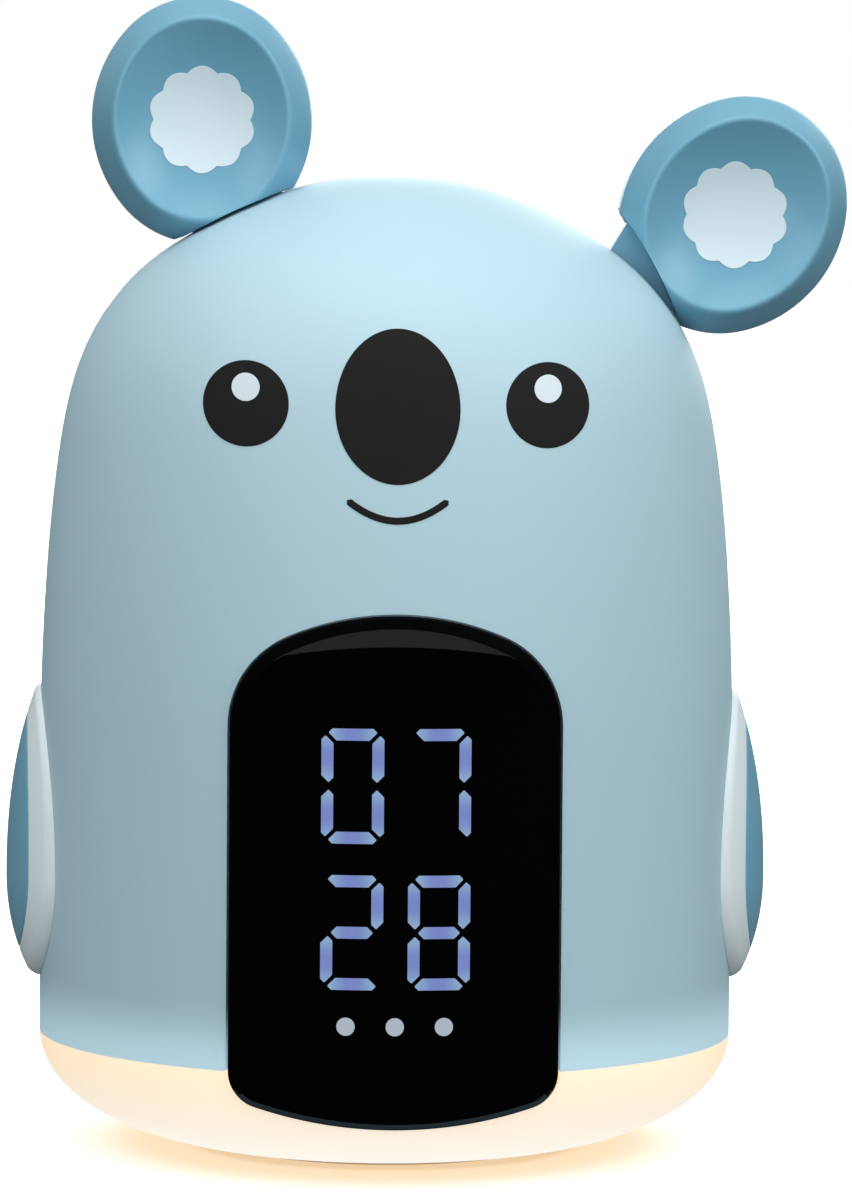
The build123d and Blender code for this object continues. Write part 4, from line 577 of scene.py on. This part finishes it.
def seatedEar():
    # the left ear, which rests on the dome: its middle, and its rings from the bowl's middle to the back
    low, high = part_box("left_ear_rear")
    half = (high.x - low.x) / 2
    middle = Vector(((low.x + high.x) / 2, 0, high.z - half * earFront["stretch"]))
    deep = -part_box("left_ear_front")[0].y
    bowlSteps = earFront["bowlSteps"]
    shares = [i / bowlSteps for i in range(1, bowlSteps - 1)] + list(earFront["bowlEnd"])
    crest = earFront["crestMm"] * mm
    joint = next(j for j in frame["joints"] if j["name"] == "left_ear_swing")
    pin, profile = Vector(joint["pos_m"]), domeProfile()
    farthest = math.radians(joint["range_deg"][1])
    axis = Vector(joint["axis"])
    swings = [Matrix.Rotation(farthest * share, 3, axis) for share in earFront["swingShares"]]

    def offDome(point):
        return swungClear(point, profile, pin, swings)

    columns = []
    for k in range(earFront["around"]):
        turn = 2 * math.pi * k / earFront["around"]
        ahead = Vector((math.cos(turn), 0, math.sin(turn)))
        reach = ovalReach(half, turn)

        def onFront(r):
            return middle + ahead * r - Vector((0, earDepth(reach, r, deep), 0))

        cut = clearReach(onFront, reach, deep, offDome)
        column = [onFront(min((reach - crest) * share, cut)) for share in shares]
        column += [onFront(min(reach - crest * inset, cut)) for inset in earFront["crestLeft"]]
        edge = -column[-1].y
        for back in earFront["sideLeft"]:
            behind = middle - Vector((0, edge * back, 0))
            out = clearReach(lambda r: behind + ahead * r, reach, deep, offDome)
            column.append(behind + ahead * out)
        columns.append(column)
    rings = [[middle - Vector((0, earDepth(reach, 0, deep), 0))]]
    rings += [list(ring) for ring in zip(*columns)]
    return middle, rings + [[middle.copy()]]


def placeOnSide(side, points):
    # the right ear is the left one mirrored, then swung outwards about its pin
    if side == "left":
        return points
    joint = next(j for j in frame["joints"] if j["name"] == "right_ear_swing")
    pin = Vector(joint["pos_m"])
    swing = Matrix.Rotation(-math.radians(joint["range_deg"][0]), 3, Vector(joint["axis"]))
    return [pin + swing @ (Vector((-p[0], p[1], p[2])) - pin) for p in points]


earMiddle, earRings = seatedEar()
earShells = {}
for side in ("left", "right"):
    placed = [placeOnSide(side, ring) for ring in earRings]
    shell = solidPiece(side + "EarFront", placed, earSatin, side + "_ear", earFront["crease"])
    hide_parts(side + "_ear_front")
    earShells[side] = shell
print("ears made")


# The side arms: one low dome each, a pale rim with a darker pad let into it
arm = {
    "middleMm": 40.8, "insetMm": 4.2, "proudMm": 5.05, "fallMm": 4.05, "fallChangeMm": 0.3, "domePower": 2.2,
    "shoulderMm": 60, "grooveMm": 0.06, "edgeMm": 0.2, "deepMm": 0.9, "seatMm": 0.02, "around": 200,
    "crease": 50, "edgeTurns": (0, 22, 45, 67, 90), "rimSteps": 24, "padSteps": 20, "lipFrom": 0.5,
}


def sideArms():
    low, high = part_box("left_arm_rim")
    casing = treeOf(nodes["body_shell"])
    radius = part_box("body_shell")[1].x
    middle, half, inset = arm["middleMm"] * mm, high.y, arm["insetMm"] * mm
    up, down, shoulder = high.z - middle, middle - low.z, arm["shoulderMm"] * mm
    atTop = casing.ray_cast(Vector((-outside, 0, high.z)), Vector((1, 0, 0)))[0]
    narrowing = (radius + atTop.x) / (high.z - shoulder) ** 2

    def outline(turn, less):
        rise = (up if math.sin(turn) > 0 else down) - less
        return (half - less) * math.cos(turn), middle + rise * math.sin(turn)

    def onDome(y, z, sink, least=0.0):
        # a point of the dome, or below it by sink; the dome's own edge is rounded
        across, along = y / half, (z - middle) / (up if z > middle else down)
        far = min(math.hypot(across, along), 1.0)
        fall = arm["fallMm"] + (arm["fallChangeMm"] * along / far if far > 0 else 0)
        lip = (arm["proudMm"] - fall) * mm
        toOutline = math.hypot(y, z - middle) * (1 / far - 1) if far > arm["lipFrom"] else lip
        rounding = math.sqrt(max(1 - max(1 - toOutline / lip, 0) ** 2, 0))
        height = (arm["proudMm"] - fall * far ** arm["domePower"]) * mm * rounding
        out = radius - narrowing * max(z - shoulder, 0) ** 2 + max(height - sink, least)
        return Vector((-math.sqrt(out * out - y * y), y, z))

    turns = [2 * math.pi * k / arm["around"] for k in range(arm["around"])]
    groove, edge, seat = arm["grooveMm"] * mm, arm["edgeMm"] * mm, arm["seatMm"] * mm
    edgeTurns = [math.radians(turn) for turn in arm["edgeTurns"]]
    rounds = [(edge * (1 - math.cos(turn)), edge * (1 - math.sin(turn))) for turn in edgeTurns]
    # the rim, from its seat at the pad's side, over the dome to the casing and back below
    rim = [[onDome(*outline(t, inset - groove), math.inf, seat) for t in turns]]
    rim += [[onDome(*outline(t, inset - groove - across), sink) for t in turns] for across, sink in rounds]
    start = inset - groove - edge
    for i in range(1, arm["rimSteps"] + 1):
        less = start * (1 - i / arm["rimSteps"]) ** 2
        rim.append([onDome(*outline(t, less), 0.0, seat) for t in turns])
    rim.append(rim[0])
    # the pad, from its middle over its rounded edge into the groove
    pad = [[onDome(0, middle, 0.0)]]
    ring = [outline(t, inset + groove + edge) for t in turns]
    for i in range(1, arm["padSteps"] + 1):
        share = i / arm["padSteps"]
        pad.append([onDome(y * share, middle + (z - middle) * share, 0.0) for y, z in ring])
    for across, sink in reversed(rounds):
        pad.append([onDome(*outline(t, inset + groove + across), sink) for t in turns])
    pad.append([onDome(*outline(t, inset + groove), arm["deepMm"] * mm) for t in turns])
    pad.append([onDome(0, middle, (arm["proudMm"] - arm["deepMm"]) * mm)])
    for side, sign in (("left", 1), ("right", -1)):
        for name, node, rings, material, slot in (("ArmRim", "_arm_rim", rim, rimSatin, "rim_pale"),
                                                  ("ArmPad", "_arm_pad", pad, earSatin, "ear_blue")):
            turned = [[(sign * p[0], p[1], p[2]) for p in ring] for ring in rings]
            piece = solidPiece(side + name, turned, material, "case", arm["crease"])
            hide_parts(side + node)


sideArms()
print("arms made")


# Printed face and ear patches: thin films on the shells. Places and sizes are in millimetres
film = {
    "lift": 0.03 * mm, "thick": 0.05 * mm, "rings": 10, "brink": 0.985, "strokeAcross": 6, "strokeTip": 0.02,
}
face = {
    "eyeX": 21.6, "eyeZ": 112.6, "eyeRadius": 6.1, "shineRadius": 2.0, "shineRise": 2.3,
    "noseZ": 112.0, "noseHalf": 8.9, "noseUp": 11.4, "noseDown": 10.6,
    "smileZ": 99.2, "smileHalf": 7.2, "smileSag": 2.9, "smileStroke": 1.0,
    "eyePoints": 72, "shinePoints": 40, "nosePoints": 96, "smileSteps": 48,
}
patch = {"radius": 8.0, "scallops": 10, "scallopDepth": 0.8, "points": 160}
printInk = {
    "colour": "#191817", "shade": "#1f1d1c", "driftMm": 3,
    "grainMm": 0.35, "grainDepth": 0.25, "roughness": 0.6,
    "sockets": {"Specular IOR Level": 0.12},
}
paleInk = {
    "colour": "#e6f1f7", "shade": "#e0ecf3", "driftMm": 6,
    "grainMm": 0.35, "grainDepth": 0.15, "roughness": 0.5,
}
whiteInk = {
    "colour": "#e4eef3", "shade": "#dce8ee", "driftMm": 6,
    "grainMm": 0.35, "grainDepth": 0.15, "roughness": 0.5,
}
# Pad-printed inks: thin, matte and slightly uneven films
blackFilm = moulded("blackPadPrint", printInk)[0]
paleFilm = moulded("palePadPrint", paleInk)[0]
whiteFilm = moulded("whitePadPrint", whiteInk)[0]


def drop(tree, x, z, lift):
    # from the front onto the shell, then outwards by lift
    point, normal, _, _ = tree.ray_cast(Vector((x, -outside, z)), Vector((0, 1, 0)))
    return point + normal * lift


def addFilm(piece):
    solid = piece.modifiers.new("thickness", "SOLIDIFY")
    solid.thickness = film["thick"]
    solid.offset = 1.0


def discRings(tree, middle, outline, lift):
    # outline is a list of points about the middle
    shares = [i / film["rings"] for i in range(1, film["rings"])] + [film["brink"], 1.0]
    found = [[drop(tree, middle[0], middle[1], lift)]]
    for share in shares:
        found.append([drop(tree, middle[0] + x * share, middle[1] + z * share, lift) for x, z in outline])
    return found


def discFilm(name, rings, body, material):
    verts, faces = [point for ring in rings for point in ring], []
    count = len(rings[1])
    for k in range(count):
        faces.append((0, 1 + k, 1 + (k + 1) % count))
    for r in range(len(rings) - 2):
        for k in range(count):
            n = (k + 1) % count
            a, b = 1 + r * count, 1 + (r + 1) * count
            faces.append((a + k, b + k, b + n, a + n))
    addFilm(newPiece(name, verts, faces, material, body))


def strokeFilm(name, tree, body, path, width, material, lift):
    # a rounded stroke along a list of points
    lengths = [0.0]
    for (ax, az), (bx, bz) in zip(path, path[1:]):
        lengths.append(lengths[-1] + math.hypot(bx - ax, bz - az))
    half, total = width / 2, lengths[-1]
    verts, faces, across = [], [], film["strokeAcross"]
    for i, (x, z) in enumerate(path):
        before, after = path[max(i - 1, 0)], path[min(i + 1, len(path) - 1)]
        along = Vector((after[0] - before[0], after[1] - before[1])).normalized()
        toEnd = min(lengths[i], total - lengths[i], half)
        reach = max(math.sqrt(max(half ** 2 - (half - toEnd) ** 2, 0)), film["strokeTip"] * half)
        for k in range(across + 1):
            side = reach * (2 * k / across - 1)
            verts.append(drop(tree, x - along.y * side, z + along.x * side, lift))
    for i in range(len(path) - 1):
        for k in range(across):
            a, b = i * (across + 1) + k, (i + 1) * (across + 1) + k
            faces.append((a, b, b + 1, a + 1))
    addFilm(newPiece(name, verts, faces, material, body))


def roundOutline(halfWidth, up, down, count):
    turns = [2 * math.pi * k / count for k in range(count)]
    return [(halfWidth * math.cos(t), (up if math.sin(t) > 0 else down) * math.sin(t)) for t in turns]


def printedFace():
    shell = treeOf(nodes["body_shell"])
    lift = film["lift"]
    eyeRadius, shineRadius = face["eyeRadius"] * mm, face["shineRadius"] * mm
    eye = roundOutline(eyeRadius, eyeRadius, eyeRadius, face["eyePoints"])
    shine = roundOutline(shineRadius, shineRadius, shineRadius, face["shinePoints"])
    for side, sign in (("left", -1), ("right", 1)):
        middle = (sign * face["eyeX"] * mm, face["eyeZ"] * mm)
        discFilm(side + "EyePrint", discRings(shell, middle, eye, lift), "case", blackFilm)
        above = (middle[0], middle[1] + face["shineRise"] * mm)
        shineRings = discRings(shell, above, shine, lift + film["thick"])
        discFilm(side + "EyeShinePrint", shineRings, "case", whiteFilm)
    nose = roundOutline(face["noseHalf"] * mm, face["noseUp"] * mm, face["noseDown"] * mm,
                        face["nosePoints"])
    noseRings = discRings(shell, (0, face["noseZ"] * mm), nose, lift)
    discFilm("nosePrint", noseRings, "case", blackFilm)
    steps = face["smileSteps"]
    smile = []
    for i in range(steps + 1):
        share = 2 * i / steps - 1
        smile.append((face["smileHalf"] * mm * share,
                      (face["smileZ"] - face["smileSag"] * (1 - share ** 2)) * mm))
    strokeFilm("smilePrint", shell, "case", smile, face["smileStroke"] * mm, blackFilm, lift)


def earPatches():
    count = patch["points"]
    outline = []
    for k in range(count):
        turn = 2 * math.pi * k / count
        wave = abs(math.sin(turn * patch["scallops"] / 2))
        radius = (patch["radius"] - patch["scallopDepth"] * (1 - wave)) * mm
        outline.append((radius * math.cos(turn), radius * math.sin(turn)))
    rings = discRings(treeOf(earShells["left"]), (earMiddle.x, earMiddle.z), outline, film["lift"])
    discFilm("leftEarPatch", rings, "left_ear", paleFilm)
    mirrored = [placeOnSide("right", ring[:1] + ring[:0:-1]) for ring in rings]
    discFilm("rightEarPatch", mirrored, "right_ear", paleFilm)


printedFace()
earPatches()
print("prints made")


# Matte white table with a painted pool of warm light around the bowl
table = {
    "half": 8.0, "white": "#f2f2f2", "bounce": "#666664", "warm": "#ffdcb0", "dim": "#7c7c7c",
    "paintedPoolFromMm": 34, "paintedPoolToMm": 56, "paintedPoolLift": 0.84,
    "liftFromMm": 52, "liftToMm": 90, "liftNear": 0.5, "liftFar": 1.0,
}


def tableTop():
    material, tree = newMaterial("matteTableWithPaintedPool")
    place = addNode(tree, "ShaderNodeTexCoord").outputs["Object"]
    flat = addNode(tree, "ShaderNodeVectorMath", {"operation": "MULTIPLY", 1: (1, 1, 0)},
                   {0: place}).outputs[0]
    away = addNode(tree, "ShaderNodeVectorMath", {"operation": "LENGTH"}, {0: flat}).outputs["Value"]
    seen = seenByCamera(tree)
    # painted pool of warm light by the bowl, white further out
    share = addNode(tree, "ShaderNodeMapRange", {"interpolation_type": "SMOOTHSTEP",
                    1: table["paintedPoolFromMm"] * mm, 2: table["paintedPoolToMm"] * mm}, {0: away}).outputs[0]
    colour = addNode(tree, "ShaderNodeMix", {"data_type": "RGBA", 6: linear(table["warm"]),
                     7: linear(table["white"])}, {0: share}).outputs[2]
    lift = addNode(tree, "ShaderNodeMapRange", {"interpolation_type": "SMOOTHSTEP",
                   1: table["liftFromMm"] * mm, 2: table["liftToMm"] * mm,
                   3: table["liftNear"], 4: table["liftFar"]}, {0: away}).outputs[0]
    paintedPoolAndLift = addNode(tree, "ShaderNodeMix", {"data_type": "FLOAT", 2: table["paintedPoolLift"]},
                   {0: share, 3: lift}).outputs[0]
    strength = addNode(tree, "ShaderNodeMath", {"operation": "MULTIPLY"}, {0: seen, 1: paintedPoolAndLift}).outputs[0]
    # for the light that it throws back the table is a mid grey, so the undersides stay dark
    # near the bowl the camera sees a dim grey under the painted pool, so the painted pool keeps its warm
    # colour
    plain = addNode(tree, "ShaderNodeMix", {"data_type": "RGBA", 6: linear(table["dim"]),
                    7: linear(table["white"])}, {0: share}).outputs[2]
    body = addNode(tree, "ShaderNodeMix", {"data_type": "RGBA", 6: linear(table["bounce"])},
                   {0: seen, 7: plain}).outputs[2]
    diffuse = addNode(tree, "ShaderNodeBsdfDiffuse", links={"Color": body}).outputs[0]
    glow = addNode(tree, "ShaderNodeEmission", links={"Color": colour, "Strength": strength}).outputs[0]
    both = addNode(tree, "ShaderNodeAddShader", links={0: diffuse, 1: glow}).outputs[0]
    addNode(tree, "ShaderNodeOutputMaterial", links={0: both})
    half = table["half"]
    mesh = bpy.data.meshes.new("tableTop")
    corners = [(-half, -half, 0), (half, -half, 0), (half, half, 0), (-half, half, 0)]
    mesh.from_pydata(corners, [], [(0, 1, 2, 3)])
    mesh.materials.append(material)
    top = bpy.data.objects.new("tableTop", mesh)
    bpy.context.scene.collection.objects.link(top)


# Soft room light, brighter from above, a little cool
world = {"horizon": 0.20, "zenith": 0.68, "tint": (0.88, 0.97, 1.0, 1), "background": 1.0}


def whiteRoom():
    room = bpy.data.worlds.new("whiteRoom")
    bpy.context.scene.world = room
    room.use_nodes = True
    tree = room.node_tree
    tree.nodes.clear()
    seen = seenByCamera(tree)
    heading = addNode(tree, "ShaderNodeTexCoord").outputs["Generated"]
    up = addNode(tree, "ShaderNodeSeparateXYZ", links={0: heading}).outputs["Z"]
    ambient = addNode(tree, "ShaderNodeMapRange", {1: 0.0, 2: 1.0, 3: world["horizon"], 4: world["zenith"]},
                      {0: up}).outputs[0]
    strength = addNode(tree, "ShaderNodeMix", {"data_type": "FLOAT", 3: world["background"]},
                       {0: seen, 2: ambient}).outputs[0]
    colour = addNode(tree, "ShaderNodeMix", {"data_type": "RGBA", 6: world["tint"], 7: (1, 1, 1, 1)},
                     {0: seen}).outputs[2]
    sky = addNode(tree, "ShaderNodeBackground", links={"Color": colour, "Strength": strength})
    addNode(tree, "ShaderNodeOutputWorld", links={0: sky.outputs[0]})


# Lamps: place, point aimed at, width and height in metres, power in watts and tint
lamps = {
    "overheadSoftbox": {"place": (0.0, -0.30, 1.10), "aim": (0, 0, 0.08), "size": (0.8, 0.8), "power": 4.0,
                        "tint": (1.0, 0.93, 0.88)},
    "leftSoftbox": {"place": (-0.80, -0.55, 0.70), "aim": (0, 0, 0.10), "size": (0.45, 0.6), "power": 2.2,
                    "tint": (0.90, 0.98, 1.0)},
    "rightSoftbox": {"place": (0.80, -0.55, 0.70), "aim": (0, 0, 0.10), "size": (0.45, 0.6), "power": 4.1,
                     "tint": (0.90, 0.98, 1.0)},
    "rearSoftbox": {"place": (0.25, 1.30, 0.45), "aim": (0, 0, 0.08), "size": (1.0, 0.6), "power": 6.5,
                    "tint": (0.95, 0.99, 1.0)},
    "frontStrip": {"place": (0.0, -1.60, 0.35), "aim": (0, 0, 0.075), "size": (3.2, 0.26), "power": 8.7,
                   "tint": (0.92, 0.98, 1.0)},
}


def softboxes():
    for name, lamp in lamps.items():
        light = bpy.data.lights.new(name, "AREA")
        light.shape = "RECTANGLE"
        light.size, light.size_y = lamp["size"]
        light.energy, light.color = lamp["power"], lamp["tint"]
        holder = bpy.data.objects.new(name, light)
        holder.location = lamp["place"]
        holder.rotation_mode = "QUATERNION"
        holder.rotation_quaternion = (Vector(lamp["aim"]) - Vector(lamp["place"])).to_track_quat("-Z", "Y")
        holder.visible_camera = False
        bpy.context.scene.collection.objects.link(holder)


# The camera: its place and clipping in metres, its turns in degrees, lens and sensor in millimetres
view = {
    "distance": 0.900, "height": 0.1432, "azimuth": 1.6, "pan": 0.37, "tilt": 3.91, "roll": 0.43,
    "lens": 180.0, "sensor": 36.0, "clip": (0.01, 20.0),
}


def viewCamera():
    data = bpy.data.cameras.new("viewCamera")
    data.lens, data.sensor_width = view["lens"], view["sensor"]
    data.clip_start, data.clip_end = view["clip"]
    camera = bpy.data.objects.new("viewCamera", data)
    turn = math.radians(view["azimuth"])
    camera.location = (-view["distance"] * math.sin(turn), -view["distance"] * math.cos(turn), view["height"])
    heading, down = turn + math.radians(view["pan"]), math.radians(view["tilt"])
    ahead = Vector((math.sin(heading) * math.cos(down), math.cos(heading) * math.cos(down), -math.sin(down)))
    camera.rotation_mode = "QUATERNION"
    roll = Quaternion((0, 0, 1), math.radians(view["roll"]))
    camera.rotation_quaternion = ahead.to_track_quat("-Z", "Y") @ roll
    bpy.context.scene.collection.objects.link(camera)
    bpy.context.scene.camera = camera


tableTop()
whiteRoom()
softboxes()
viewCamera()
bpy.context.scene.view_settings.view_transform = "Standard"
print("stage, light and camera set")
